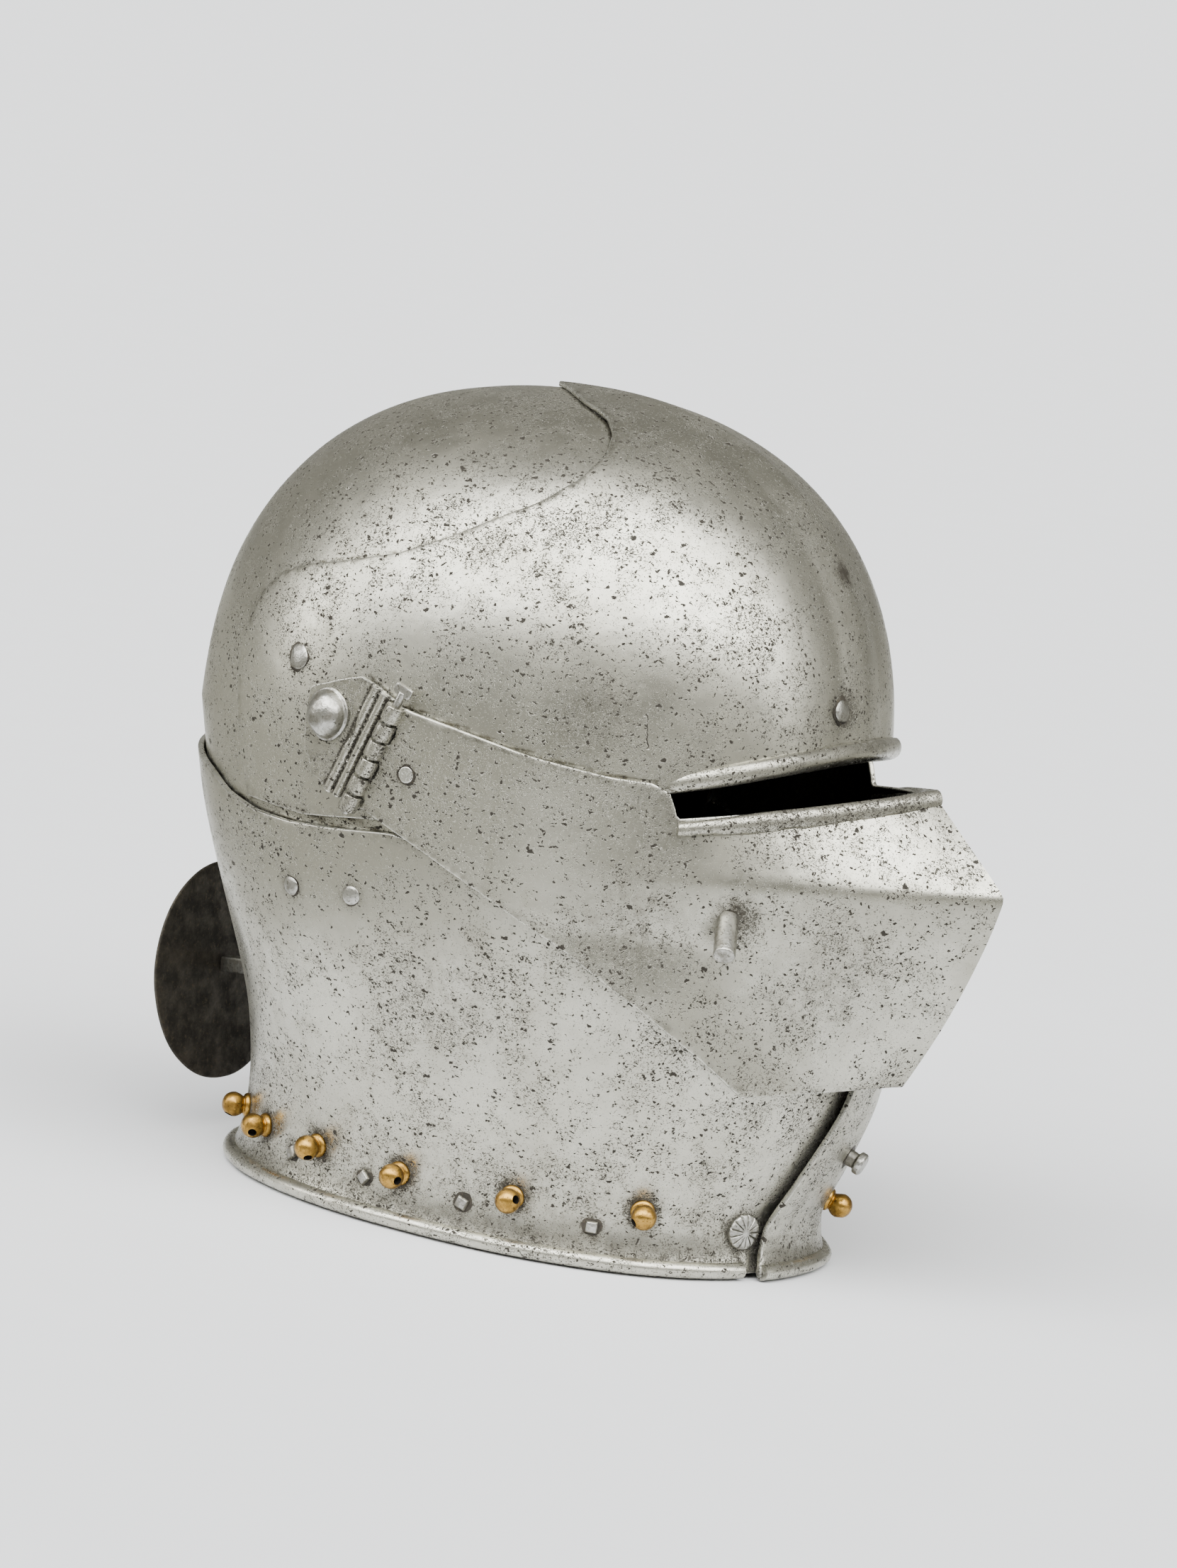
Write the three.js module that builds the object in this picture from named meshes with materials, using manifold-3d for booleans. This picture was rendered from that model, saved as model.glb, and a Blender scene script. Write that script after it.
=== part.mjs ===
// Italian armet of about 1475: skull with tail, brow reinforce, two cheek plates that meet at the chin,
// a beaked visor on pinned side hinges, a rondel behind the neck and brass vervelles round the rim.
// Millimetres, +Z up, face to -Y, the wearer's right at -X.
import * as THREE from "three";
import { mergeVertices } from "three/addons/utils/BufferGeometryUtils.js";
import Module from "manifold-3d";

const wasm = await Module();
wasm.setup();

// ---- the head form every plate follows -------------------------------------------------------------
const widest = 150; // height of the widest level
const crown = 263; // height of the crown
const crownY = -33; // where the dome is centred front to back
const columns = 40; // facets round one level
// [height, half width, front, back] of the levels below the widest one
const levels = [
  [-4, 71.5, -147, 52.5],
  [0, 70, -146, 51],
  [8, 67.5, -143.5, 48],
  [18, 67, -143, 46.5],
  [35, 70.5, -149.5, 46],
  [60, 79.5, -157, 48.5],
  [90, 87.5, -156, 59],
  [120, 91.5, -150, 71],
  [150, 93, -146, 79.5],
];
const keelHeight = 2.2; // the low medial keel of the brow

// ---- plates, as distances out from the head form ---------------------------------------------------
const skull = [-2, 0];
const brow = [0.3, 2.1];
const cheek = [0.8, 2.8];
const chinLap = 4.0; // how far the left cheek plate steps out over the right one
const visorOut = 5.6;
const visorThick = 1.9;

const pivot = [-11, 161]; // y, z of the visor's pivot studs
const hingeTop = [-35.4, 168.6]; // y, z of the upper end of the visor hinge
const hingeEnd = [-22, 132.8]; // its lower end
const knuckleR = 3.1;
const pinR = 1.3;

const steel = { color: 0xb4b5b0, metalness: 1, roughness: 0.32 };
const brass = { color: 0xb08d3e, metalness: 1, roughness: 0.35 };
const darkIron = { color: 0x2a2622, metalness: 0.6, roughness: 0.7 };

// ---- small maths -----------------------------------------------------------------------------------
const clamp01 = (t) => Math.min(1, Math.max(0, t));
const mix = (a, b, t) => a + (b - a) * t;
const ease = (t) => clamp01(t) ** 2 * (3 - 2 * clamp01(t));

// A smooth curve through rows of numbers keyed by their first entry; gives column `k` at `at`.
function through(rows, k, at) {
  let i = 0;
  while (i < rows.length - 2 && at > rows[i + 1][0]) i++;
  const slope = (j) => {
    const lo = rows[Math.max(0, j - 1)];
    const hi = rows[Math.min(rows.length - 1, j + 1)];
    return (hi[k] - lo[k]) / (hi[0] - lo[0]);
  };
  const step = rows[i + 1][0] - rows[i][0];
  const t = (at - rows[i][0]) / step;
  const rise = rows[i + 1][k] - rows[i][k];
  const a = slope(i) * step - rise;
  const b = rise - slope(i + 1) * step;
  return mix(rows[i][k], rows[i + 1][k], t) + t * (1 - t) * (a * (1 - t) + b * t);
}

// Half width, front length, back length and centre of the head form at one height.
function level(z) {
  const low = Math.min(z, widest);
  const centre = mix(-50, crownY, ease(low / widest));
  const t = clamp01((z - widest) / (crown - widest));
  const shrink = (power) => (1 - t ** power) ** (1 / power);
  return {
    half: through(levels, 1, low) * shrink(2.25),
    front: (centre - through(levels, 2, low)) * shrink(2.4),
    back: (through(levels, 3, low) - centre) * shrink(2.35),
    centre,
  };
}

// A point of the head form: `turn` runs from the front over the wearer's right side.
function formPoint(turn, z) {
  const at = level(z);
  const c = Math.cos(turn);
  const s = Math.sin(turn);
  const power = c > 0 ? 2 / 2.15 : 2 / 2.2;
  const reach = c > 0 ? at.front : at.back;
  const x = -at.half * Math.sign(s) * Math.abs(s) ** power;
  const y = at.centre - Math.sign(c) * reach * Math.abs(c) ** power;
  return new THREE.Vector3(x, y, z);
}

// The level reached by `rise`: 0..1 goes from the rim to the widest level, 1..2 from there to the crown.
function heightAt(rise) {
  if (rise <= 1) return mix(-4, widest, rise);
  return widest + (crown - widest) * Math.sin((Math.min(rise, 2) - 1) * Math.PI / 2);
}

function formNormal(turn, rise) {
  const d = 0.004;
  const low = Math.min(rise, 1.985);
  const across = formPoint(turn + d, heightAt(low)).sub(formPoint(turn - d, heightAt(low)));
  const up = formPoint(turn, heightAt(low + d)).sub(formPoint(turn, heightAt(low - d)));
  return up.cross(across).normalize();
}

// A point `out` from the head form, with the medial keel of the brow on it.
function offsetPoint(turn, rise, out) {
  if (rise >= 2) return new THREE.Vector3(0, crownY, crown + out + keelHeight * 0.6);
  const at = formPoint(turn, heightAt(rise));
  const keel = clamp01(1 - Math.abs(at.x) / 13) * ease((10 - at.y) / 60) * ease((at.z - 140) / 30);
  return at.addScaledVector(formNormal(turn, rise), out + keelHeight * keel);
}

// ---- solids ----------------------------------------------------------------------------------------
function solid(geometry) {
  const bare = geometry.clone();
  bare.deleteAttribute("normal");
  bare.deleteAttribute("uv");
  const welded = mergeVertices(bare, 1e-4);
  return new wasm.Manifold(new wasm.Mesh({
    numProp: 3,
    vertProperties: welded.attributes.position.array,
    triVerts: new Uint32Array(welded.index.array),
  }));
}

function geometryOf(body) {
  const mesh = body.getMesh();
  const geometry = new THREE.BufferGeometry();
  geometry.setAttribute("position", new THREE.BufferAttribute(mesh.vertProperties, 3));
  geometry.setIndex(new THREE.BufferAttribute(mesh.triVerts, 1));
  const flat = geometry.toNonIndexed();
  flat.computeVertexNormals();
  return flat;
}

// A closed body from rings of points, each ring of the same length, capped at both ends by a centre point.
function loft(rings, first, last) {
  const n = rings[0].length;
  const points = [first, ...rings.flat(), last];
  const faces = [];
  for (let k = 0; k < n; k++) {
    const next = (k + 1) % n;
    faces.push(0, 1 + next, 1 + k);
    for (let r = 0; r < rings.length - 1; r++) {
      const a = 1 + r * n;
      const b = a + n;
      faces.push(a + k, a + next, b + k);
      faces.push(a + next, b + next, b + k);
    }
    const top = 1 + (rings.length - 1) * n;
    faces.push(top + k, top + next, points.length - 1);
  }
  const geometry = new THREE.BufferGeometry().setFromPoints(points);
  geometry.setIndex(faces);
  const body = solid(geometry);
  if (body.volume() > 0) return body;
  for (let i = 0; i < faces.length; i += 3) faces.splice(i, 3, faces[i], faces[i + 2], faces[i + 1]);
  geometry.setIndex(faces);
  return solid(geometry);
}

// The filled head form grown by `out(point)`; its floor is at the lowest level.
function filled(out, lowest = 0) {
  const rises = [0, 4, 8, 14, 22, 31, 41, 54, 69, 84, 99, 114, 126, 140, 154].map((z) => z / (widest + 4));
  for (let k = 1; k < 10; k++) rises.push(1 + k / 10);
  rises[0] -= lowest;
  const rings = rises.map((rise) => {
    const ring = [];
    for (let k = 0; k < columns; k++) {
      const turn = (k / columns) * Math.PI * 2;
      ring.push(offsetPoint(turn, rise, out(formPoint(turn, heightAt(rise)))));
    }
    return ring;
  });
  const floor = new THREE.Vector3(0, -50, rings[0][0].z);
  return loft(rings, floor, offsetPoint(0, 2, out(new THREE.Vector3(0, crownY, crown))));
}

// The plate between two distances from the head form; `extra(point)` bulges it.
function plate([inner, outer], extra = () => 0) {
  const shell = filled((p) => outer + extra(p)).subtract(filled((p) => inner + extra(p), 0.01));
  return shell;
}

// A side-view outline of [y, z] points swept through from x0 to x1.
function sideCut(outline, x0, x1) {
  const shape = new THREE.Shape(outline.map(([y, z]) => new THREE.Vector2(y, z)));
  const geometry = new THREE.ExtrudeGeometry(shape, { depth: x1 - x0, bevelEnabled: false, curveSegments: 6 });
  geometry.applyMatrix4(new THREE.Matrix4().makeBasis(
    new THREE.Vector3(0, 1, 0), new THREE.Vector3(0, 0, 1), new THREE.Vector3(1, 0, 0),
  ));
  geometry.translate(x0, 0, 0);
  return solid(geometry);
}

// A top-view outline of [x, y] points swept from z0 to z1.
function topCut(outline, z0, z1) {
  const shape = new THREE.Shape(outline.map(([x, y]) => new THREE.Vector2(x, y)));
  const geometry = new THREE.ExtrudeGeometry(shape, { depth: z1 - z0, bevelEnabled: false });
  geometry.translate(0, 0, z0);
  return solid(geometry);
}

// A front-view outline of [x, z] points swept from y0 to y1.
function frontCut(outline, y0, y1) {
  const shape = new THREE.Shape(outline.map(([x, z]) => new THREE.Vector2(x, z)));
  const geometry = new THREE.ExtrudeGeometry(shape, { depth: y1 - y0, bevelEnabled: false });
  return solid(geometry.rotateX(Math.PI / 2).translate(0, y1, 0));
}

function block(x0, x1, y0, y1, z0, z1) {
  const geometry = new THREE.BoxGeometry(x1 - x0, y1 - y0, z1 - z0);
  return solid(geometry.translate((x0 + x1) / 2, (y0 + y1) / 2, (z0 + z1) / 2));
}

// A rolled edge: rings of an eight-sided section set along `path`, each {at, out, up, wide, high}.
function roll(path) {
  const rings = path.map(({ at, out, up, wide, high }) => {
    const ring = [];
    for (let k = 0; k < 8; k++) {
      const a = ((k + 0.5) / 8) * Math.PI * 2;
      const grow = 1 / Math.cos(Math.PI / 8);
      ring.push(at.clone()
        .addScaledVector(out, Math.cos(a) * wide * grow)
        .addScaledVector(up, Math.sin(a) * high * grow));
    }
    return ring;
  });
  return loft(rings, path[0].at.clone(), path[path.length - 1].at.clone());
}

// The left half of a rolled edge whose right half ends on the medial plane.
function mirrored(path) {
  return path.slice(0, -1).reverse().map((s) => ({
    ...s,
    at: s.at.clone().setX(-s.at.x),
    out: s.out.clone().setX(-s.out.x),
  }));
}

// Sets a body drawn along +Z from the origin onto `at`, pointing along `dir`.
function placed(geometry, at, dir) {
  const turn = new THREE.Quaternion().setFromUnitVectors(new THREE.Vector3(0, 0, 1), dir.clone().normalize());
  return geometry.clone().applyQuaternion(turn).translate(at.x, at.y, at.z);
}

// A round rod between two points.
function rod(a, b, r, sides = 12) {
  const along = b.clone().sub(a);
  const geometry = new THREE.CylinderGeometry(r, r, along.length(), sides);
  geometry.rotateX(Math.PI / 2);
  geometry.translate(0, 0, along.length() / 2);
  return solid(placed(geometry, a, along));
}

// A turned piece: [radius, height] points from the axis to the axis.
function turned(profile, sides = 12) {
  const geometry = new THREE.LatheGeometry(profile.map(([r, h]) => new THREE.Vector2(r, h)), sides);
  return geometry.rotateX(Math.PI / 2);
}

// ---- where things sit on the form ------------------------------------------------------------------
// The turn whose point at height z lies at y, on the wearer's right.
function turnAt(y, z) {
  let lo = 0;
  let hi = Math.PI;
  for (let k = 0; k < 40; k++) {
    const mid = (lo + hi) / 2;
    if (formPoint(mid, z).y < y) lo = mid;
    else hi = mid;
  }
  return (lo + hi) / 2;
}

const riseOf = (z) => (z <= widest
  ? (z + 4) / (widest + 4)
  : 1 + Math.asin((z - widest) / (crown - widest)) / (Math.PI / 2));

// The seat `out` from the form at y, z of one side (-1 right, +1 left): its point and outward direction.
function seat(side, y, z, out) {
  const turn = turnAt(y, z) * -side;
  return {
    at: offsetPoint(turn, riseOf(z), out),
    dir: formNormal(turn, riseOf(z)),
  };
}

const group = new THREE.Group();
function add(name, geometry, look) {
  const mesh = new THREE.Mesh(geometry, new THREE.MeshStandardMaterial(look));
  mesh.name = name;
  group.add(mesh);
}

// A fitting whose foot is shaped to the plate it sits on, with a hair of room under it.
function fitted(shape, spot, out, extra = () => 0) {
  const body = solid(placed(shape, spot.at, spot.dir));
  return geometryOf(body.subtract(filled((p) => out + 0.3 + extra(p))));
}

// ---- skull -----------------------------------------------------------------------------------------
const skullSide = [
  [-175, 171], [-148, 171], [-118, 158], [-90, 151], [-62, 144], [-52, 134], [-47, 106], [-30, 103],
  [25, 101], [60, 97], [110, 97], [110, 280], [-175, 280],
];
const tailCut = frontCut([[-22, 100], [-24, 120], [24, 120], [22, 100], [21, 6], [-21, 6]], 20, 120);
const skullBody = plate(skull).intersect(sideCut(skullSide, -130, 130).add(tailCut));
add("skull", geometryOf(skullBody), steel);

// ---- brow reinforce --------------------------------------------------------------------------------
// Seen from above its rear edge runs to a cusp on the crown; seen from the side it drops over the temples.
const browTop = [
  [0, -23], [-20, -44], [-28, -57], [-36, -64], [-46, -68], [-57, -66], [-70, -57], [-110, -30],
  [-110, -190], [110, -190], [110, -30], [70, -57], [57, -66], [46, -68], [36, -64], [28, -57], [20, -44],
];
const browSide = [
  [-57, 235], [-49, 229], [-36, 221], [-20, 213], [0, 207], [14, 203.5], [24, 199], [31, 192], [35, 181], [36, 170],
  [33, 155], [28, 136], [24, 127.5], [-2, 127], [-30, 131], [-64, 137.5], [-90, 145], [-110, 151.5],
  [-122, 156], [-134, 160], [-150, 165], [-175, 168], [-175, 235],
];
// The rolled lower edge of the brow: it starts behind the sight and stands out most at the front.
const sightEdge = [-110, -115, -120, -125, -130, -135.5, -141];

function browRoll() {
  const path = sightEdge.map((y, k) => {
    const grow = ease(k / 4.2);
    const spot = seat(-1, y, 154 - (y + 110) * 0.385, mix(0.5, 2.2, grow));
    const out = spot.dir.clone().setZ(0).normalize();
    return { at: spot.at, out, up: new THREE.Vector3(0, 0, 1), wide: mix(1.0, 2.3, grow), high: mix(2.4, 3.3, grow) };
  });
  path.push({
    at: offsetPoint(0, riseOf(168.3), 1.9),
    out: new THREE.Vector3(0, -1, 0),
    up: new THREE.Vector3(0, 0, 1),
    wide: 2.6,
    high: 3.3,
  });
  return roll([...path, ...mirrored(path)]);
}
const browShell = plate(brow).intersect(
  topCut(browTop, 235, 300).add(sideCut(browSide, -130, 130)),
);
add("brow_reinforce", geometryOf(browShell.add(browRoll().subtract(filled(() => brow[0])))), steel);

// ---- cheek plates ----------------------------------------------------------------------------------
const cheekSide = [
  [-190, -1], [120, -1], [120, 140], [66, 134], [47, 130.5], [36, 126.5], [20, 124], [4, 123.8],
  [-14, 125.3], [-36, 128], [-52, 126], [-80, 117], [-106, 102], [-130, 84], [-148, 71], [-190, 69],
];
const lapEdge = [[-4, 80], [-6, 64], [-12, 46], [-16, 31], [-18, 20], [-21, 10], [-25, -1]];
const hiddenShift = 11; // how far the right plate runs under the left one

function rimPath(from, to, extra) {
  const path = [];
  const steps = Math.round(Math.abs(to - from) / ((Math.PI * 2) / columns));
  for (let k = 0; k <= steps; k++) {
    const turn = mix(from, to, k / steps);
    const near = formPoint(turn, 2);
    const at = offsetPoint(turn, riseOf(2), 2.9 + extra(near)).setZ(2.6);
    const out = formNormal(turn, riseOf(2)).setZ(0).normalize();
    path.push({ at, out, up: new THREE.Vector3(0, 0, 1), wide: 2.6, high: 2.6 });
  }
  return path;
}

const lapOut = (p) => (p.y < -90 ? chinLap * ease((36 - p.x) / 22) : 0);
const above = block(-150, 150, -250, 150, 0, 300);

function cheekPlate(side) {
  const front = side < 0
    ? frontCut([...lapEdge.map(([x, z]) => [x + hiddenShift, z]), [-120, -1], [-120, 80]], -220, -40)
    : frontCut([...lapEdge, [120, -1], [120, 80]], -220, -40);
  const ear = side < 0 ? block(-120, 0, -150, -40, 60, 140) : block(0, 120, -150, -40, 60, 140);
  const rear = side < 0 ? block(-120, -15, -41, 120, -1, 140) : block(15, 120, -41, 120, -1, 140);
  const extra = side < 0 ? () => 0 : lapOut;
  const shell = plate(cheek, extra)
    .intersect(sideCut(cheekSide, -130, 130))
    .intersect(front.add(ear).add(rear));
  const backTurn = turnAt(49, 2) * -side;
  const frontTurn = side < 0 ? 0.34 : 0.27;
  const rim = roll(rimPath(backTurn, frontTurn, extra));
  return shell.add(rim.subtract(filled((p) => cheek[0] + extra(p), 0.01))).intersect(above);
}
add("cheek_plate_right", geometryOf(cheekPlate(-1)), steel);
add("cheek_plate_left", geometryOf(cheekPlate(1)), steel);

// ---- visor -----------------------------------------------------------------------------------------
const beakZ = 132; // height of the beak's tip
const beakY = -202.5;
// [row height at the keel] from the bottom edge to above the sights
const visorRows = [56, 66, 75, 84, 93, 102, 112, 122, 132, 138, 145, 152, 160, 172];

function keelY(z) {
  const drop = beakZ - z;
  return drop > 0 ? beakY + 0.235 * drop + 0.0025 * drop * drop : beakY - 1.06 * drop;
}

// Right half of one visor row, from the keel back to behind the hinge.
function visorRow(z) {
  const rearZ = z - 6 * clamp01(1 - Math.abs(z - beakZ) / 50);
  const rearY = -70 - 1.15 * Math.max(0, 110 - z);
  const keel = new THREE.Vector3(0, keelY(z), z);
  const low = clamp01((116 - z) / 50);
  const out = visorOut + 2 * Math.min(1, 2 * low);
  const rear = seat(-1, rearY, rearZ, out).at;
  const corner = new THREE.Vector3(mix(-87.5, -55, low), mix(-119, -150, low), mix(z, rearZ, 0.7));
  const curve = new THREE.QuadraticBezierCurve3(keel, corner, rear);
  const row = curve.getPoints(8);
  for (const p of row) {
    if (p.y > -148) p.x = Math.min(p.x, seat(-1, p.y, p.z, out).at.x);
  }
  for (let k = 1; k <= 4; k++) row.push(seat(-1, mix(rearY, -14, k / 4), rearZ, out).at);
  return row;
}

function visorSheet() {
  const half = visorRows.map(visorRow);
  return half.map((row) => [
    ...row.slice(1).reverse(),
    ...row.map((p) => p.clone().setX(-p.x)),
  ]);
}

// A sheet of points given thickness on its inner side.
function thickened(sheet, thick) {
  const rows = sheet.length;
  const cols = sheet[0].length;
  const inner = sheet.map((row, r) => row.map((p, c) => {
    const across = sheet[r][Math.min(cols - 1, c + 1)].clone().sub(sheet[r][Math.max(0, c - 1)]);
    const up = sheet[Math.min(rows - 1, r + 1)][c].clone().sub(sheet[Math.max(0, r - 1)][c]);
    return p.clone().addScaledVector(across.cross(up).normalize(), -thick);
  }));
  const points = [...sheet.flat(), ...inner.flat()];
  const away = rows * cols;
  const faces = [];
  const quad = (a, b, c, d) => faces.push(a, b, c, a, c, d);
  for (let r = 0; r < rows - 1; r++) {
    for (let c = 0; c < cols - 1; c++) {
      const a = r * cols + c;
      quad(a, a + 1, a + cols + 1, a + cols);
      quad(away + a, away + a + cols, away + a + cols + 1, away + a + 1);
    }
    const left = r * cols;
    const right = left + cols - 1;
    quad(left, left + cols, away + left + cols, away + left);
    quad(right, away + right, away + right + cols, right + cols);
  }
  for (let c = 0; c < cols - 1; c++) {
    const top = (rows - 1) * cols + c;
    quad(c, away + c, away + c + 1, c + 1);
    quad(top, top + 1, away + top + 1, away + top);
  }
  const geometry = new THREE.BufferGeometry().setFromPoints(points);
  geometry.setIndex(faces);
  return solid(geometry);
}

const visorSide = [
  [-36.5, 168.2], [-40, 167.3], [-55, 165], [-80, 160.5], [-104, 157.4], [-114, 157], [-118.5, 154.5], [-120.5, 150],
  [-121.5, 147], [-175, 158.5], [-215, 166], [-215, 66], [-176, 66], [-146.5, 62], [-137, 72], [-119, 87],
  [-97, 102], [-73, 114], [-49, 125], [-27, 134], [-23.6, 133.6],
];

function sightRoll() {
  const path = [];
  for (let k = 0; k <= 6; k++) {
    const share = k / 6;
    const z = mix(146.3, 157.6, share);
    const row = visorRow(z);
    const y = mix(-122, keelY(z), share);
    let c = 0;
    while (row[c + 1].y < y) c++;
    const t = (y - row[c].y) / (row[c + 1].y - row[c].y);
    const at = row[c].clone().lerp(row[c + 1], clamp01(t));
    const out = new THREE.Vector3(-0.75, -0.66, 0);
    if (k === 6) out.set(0, -1, 0);
    out.normalize();
    const size = mix(2, 3, ease(share * 3));
    at.addScaledVector(out, mix(-0.3, -1.6, share ** 3));
    path.push({ at, out, up: new THREE.Vector3(0, 0, 1), wide: size * 0.8, high: size });
  }
  return roll([...path, ...mirrored(path)]);
}

// The hinge line of one side: a straight axis just clear of the plates.
function hingeLine(side) {
  const middle = seat(side, (hingeTop[0] + hingeEnd[0]) / 2, (hingeTop[1] + hingeEnd[1]) / 2, 6.2).at.x;
  return [
    new THREE.Vector3(middle, ...hingeTop),
    new THREE.Vector3(middle, ...hingeEnd),
  ];
}

// Knuckle k of six, counted from the top.
function knuckle(side, k, r = knuckleR) {
  const [top, end] = hingeLine(side);
  const gap = 0.012;
  return rod(
    top.clone().lerp(end, k / 6 + gap),
    top.clone().lerp(end, (k + 1) / 6 - gap),
    r,
    12,
  );
}
const pinHole = (side) => {
  const [top, end] = hingeLine(side);
  const along = end.clone().sub(top).normalize();
  return rod(top.clone().addScaledVector(along, -9), end.clone().addScaledVector(along, 5), pinR + 0.3, 10);
};

let visorBody = thickened(visorSheet(), visorThick)
  .intersect(sideCut(visorSide, -130, 130))
  .add(sightRoll());
for (const side of [-1, 1]) {
  for (const k of [1, 3, 5]) visorBody = visorBody.subtract(knuckle(side, k, knuckleR + 0.5));
  for (const k of [0, 2, 4]) visorBody = visorBody.add(knuckle(side, k));
  visorBody = visorBody.subtract(pinHole(side));
}
add("visor", geometryOf(visorBody), steel);

// ---- pivot arms, hinge pins and studs ---------------------------------------------------------------
function arm(side) {
  const outline = [
    [-7, 142], [-14, 137.4], [-22.4, 134.8], [-34.8, 168.4], [-26, 172.8], [-20.5, 175], [-2.8, 168.5],
    [-2, 158], [-3.5, 150],
  ];
  const x = levels[levels.length - 1][1] + brow[1] + 0.5;
  const sheet = block(-0.9, 0.9, -60, 20, 120, 190).translate([side * (x + 0.9), 0, 0]);
  let body = sheet.intersect(sideCut(outline, -130, 130));
  const [top, end] = hingeLine(side);
  for (const back of [6.2, 9.6]) {
    const shift = new THREE.Vector3(side * (x + 1.3) - top.x, back * 0.93, back * 0.36);
    const flute = rod(top.clone().lerp(end, 0.06).add(shift), top.clone().lerp(end, 0.94).add(shift), 1.6, 8);
    body = body.add(flute);
  }
  for (const k of [0, 2, 4]) body = body.subtract(knuckle(side, k, knuckleR + 0.5));
  for (const k of [1, 3, 5]) body = body.add(knuckle(side, k));
  const bore = rod(
    new THREE.Vector3(side * 80, ...pivot),
    new THREE.Vector3(side * 120, ...pivot),
    3.6,
    16,
  );
  return body.subtract(pinHole(side)).subtract(bore);
}

function hingePin(side) {
  const [top, end] = hingeLine(side);
  const along = end.clone().sub(top).normalize();
  const shank = rod(top.clone().addScaledVector(along, -4.5), end.clone().addScaledVector(along, 1.2), pinR, 10);
  const tab = new THREE.BoxGeometry(1.6, 6.6, 3.4);
  return shank.add(solid(placed(tab, top.clone().addScaledVector(along, -5), along)));
}

function pivotStud(side) {
  const x = Math.abs(seat(side, ...pivot, brow[1]).at.x);
  const head = turned([
    [0, 0.3], [3.1, 0.3], [3.1, 3.8], [8.4, 3.8], [8.4, 4.8], [7.5, 5.2], [6.6, 7.2], [4.4, 9.3], [2, 10.3],
    [0, 10.6],
  ], 16);
  return placed(head, new THREE.Vector3(side * x, ...pivot), new THREE.Vector3(side, 0, 0));
}

for (const [side, word] of [[-1, "right"], [1, "left"]]) {
  add(`pivot_arm_${word}`, geometryOf(arm(side)), steel);
  add(`hinge_pin_${word}`, geometryOf(hingePin(side)), steel);
  add(`pivot_stud_${word}`, pivotStud(side), steel);
}

// ---- rondel behind the neck -------------------------------------------------------------------------
const rondelR = 36.8;
const rondelAt = new THREE.Vector3(0, 75, 52);
const rondelDir = new THREE.Vector3(0.08, 0.985, -0.13).normalize();
add("rondel_disc", placed(
  turned([[0, 0], [rondelR, 0], [rondelR, 1.6], [0, 1.6]], 28),
  rondelAt,
  rondelDir,
), darkIron);

function rondelStem() {
  const foot = offsetPoint(Math.PI, riseOf(57), -0.6);
  const tip = rondelAt.clone().addScaledVector(rondelDir, -0.3).setZ(54);
  const along = tip.clone().sub(foot);
  const bar = new THREE.BoxGeometry(5.4, 5.4, along.length()).translate(0, 0, along.length() / 2);
  return solid(placed(bar, foot, along)).subtract(filled(() => 0.3));
}
add("rondel_stem", geometryOf(rondelStem()), steel);

// ---- vervelles: pierced brass balls on collars round the rim ------------------------------------------
const vervelle = turned([
  [0, -1], [3.9, -1], [3.9, 1], [3.1, 1.8], [2.6, 2.3], [3.85, 4], [3.85, 5.9], [2.4, 8], [0, 8.7],
], 8);
const vervelleSpots = [[33, 19], [18, 17.5], [-8, 18.5], [-41, 17.5], [-80, 18.5], [-117, 20.5]];
let count = 0;
function addVervelle(spot, out, extra) {
  count += 1;
  add(`vervelle_${String(count).padStart(2, "0")}`, fitted(vervelle, spot, out, extra), brass);
}
for (const side of [-1, 1]) {
  for (const [y, z] of vervelleSpots) addVervelle(seat(side, y, z, cheek[1]), cheek[1]);
}
addVervelle(seat(1, -141.5, 22.5, cheek[1] + chinLap * 0.8), cheek[1], lapOut);
addVervelle({ at: offsetPoint(Math.PI, riseOf(18), skull[1]), dir: new THREE.Vector3(0, 1, 0) }, skull[1]);

// ---- rivets and studs ---------------------------------------------------------------------------------
const flush = turned([[0, -0.6], [3.7, -0.6], [3.6, 0.6], [0, 1.1]], 10);
const flushSmall = turned([[0, -0.6], [2.8, -0.6], [2.7, 0.6], [0, 1]], 10);
const squareHead = new THREE.CylinderGeometry(1.9, 2.6, 3, 4, 1).rotateX(Math.PI / 2).translate(0, 0, 0.3);
for (const [side, word] of [[-1, "right"], [1, "left"]]) {
  const put = (name, shape, y, z, out) => {
    const spot = seat(side, y, z, out);
    add(`${name}_${word}`, fitted(shape, spot, out), steel);
  };
  put("temple_rivet", flush, 7, 175, brow[1]);
  if (side < 0) put("brow_rivet", flush, -143, 181, brow[1]);
  put("cheek_rivet_rear", flushSmall, 0, 104, cheek[1]);
  put("cheek_rivet_front", flushSmall, -24, 106, cheek[1]);
  put("visor_rivet", flushSmall, -41, 148, visorOut);
  [3, -28, -64, -104].forEach((y, k) => put(`rim_rivet_${k + 1}`, squareHead, y, 12.5, cheek[1]));
}

function rosette() {
  const petals = turned([[0, -1], [5.9, -1], [5.9, 1], [4.6, 1.9], [0, 2.6]], 24);
  return fitted(petals, seat(-1, -138, 14.5, cheek[1]), cheek[1]);
}
add("rosette_rivet", rosette(), steel);

function chinStud() {
  const spot = seat(1, -150.5, 40, cheek[1] + chinLap);
  const knob = turned([[0, -1], [2.8, -1], [2.5, 2.8], [3.6, 3.5], [3.6, 5.4], [0, 6]], 10);
  return fitted(knob, spot, cheek[1], lapOut);
}
add("chin_stud", chinStud(), steel);

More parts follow.
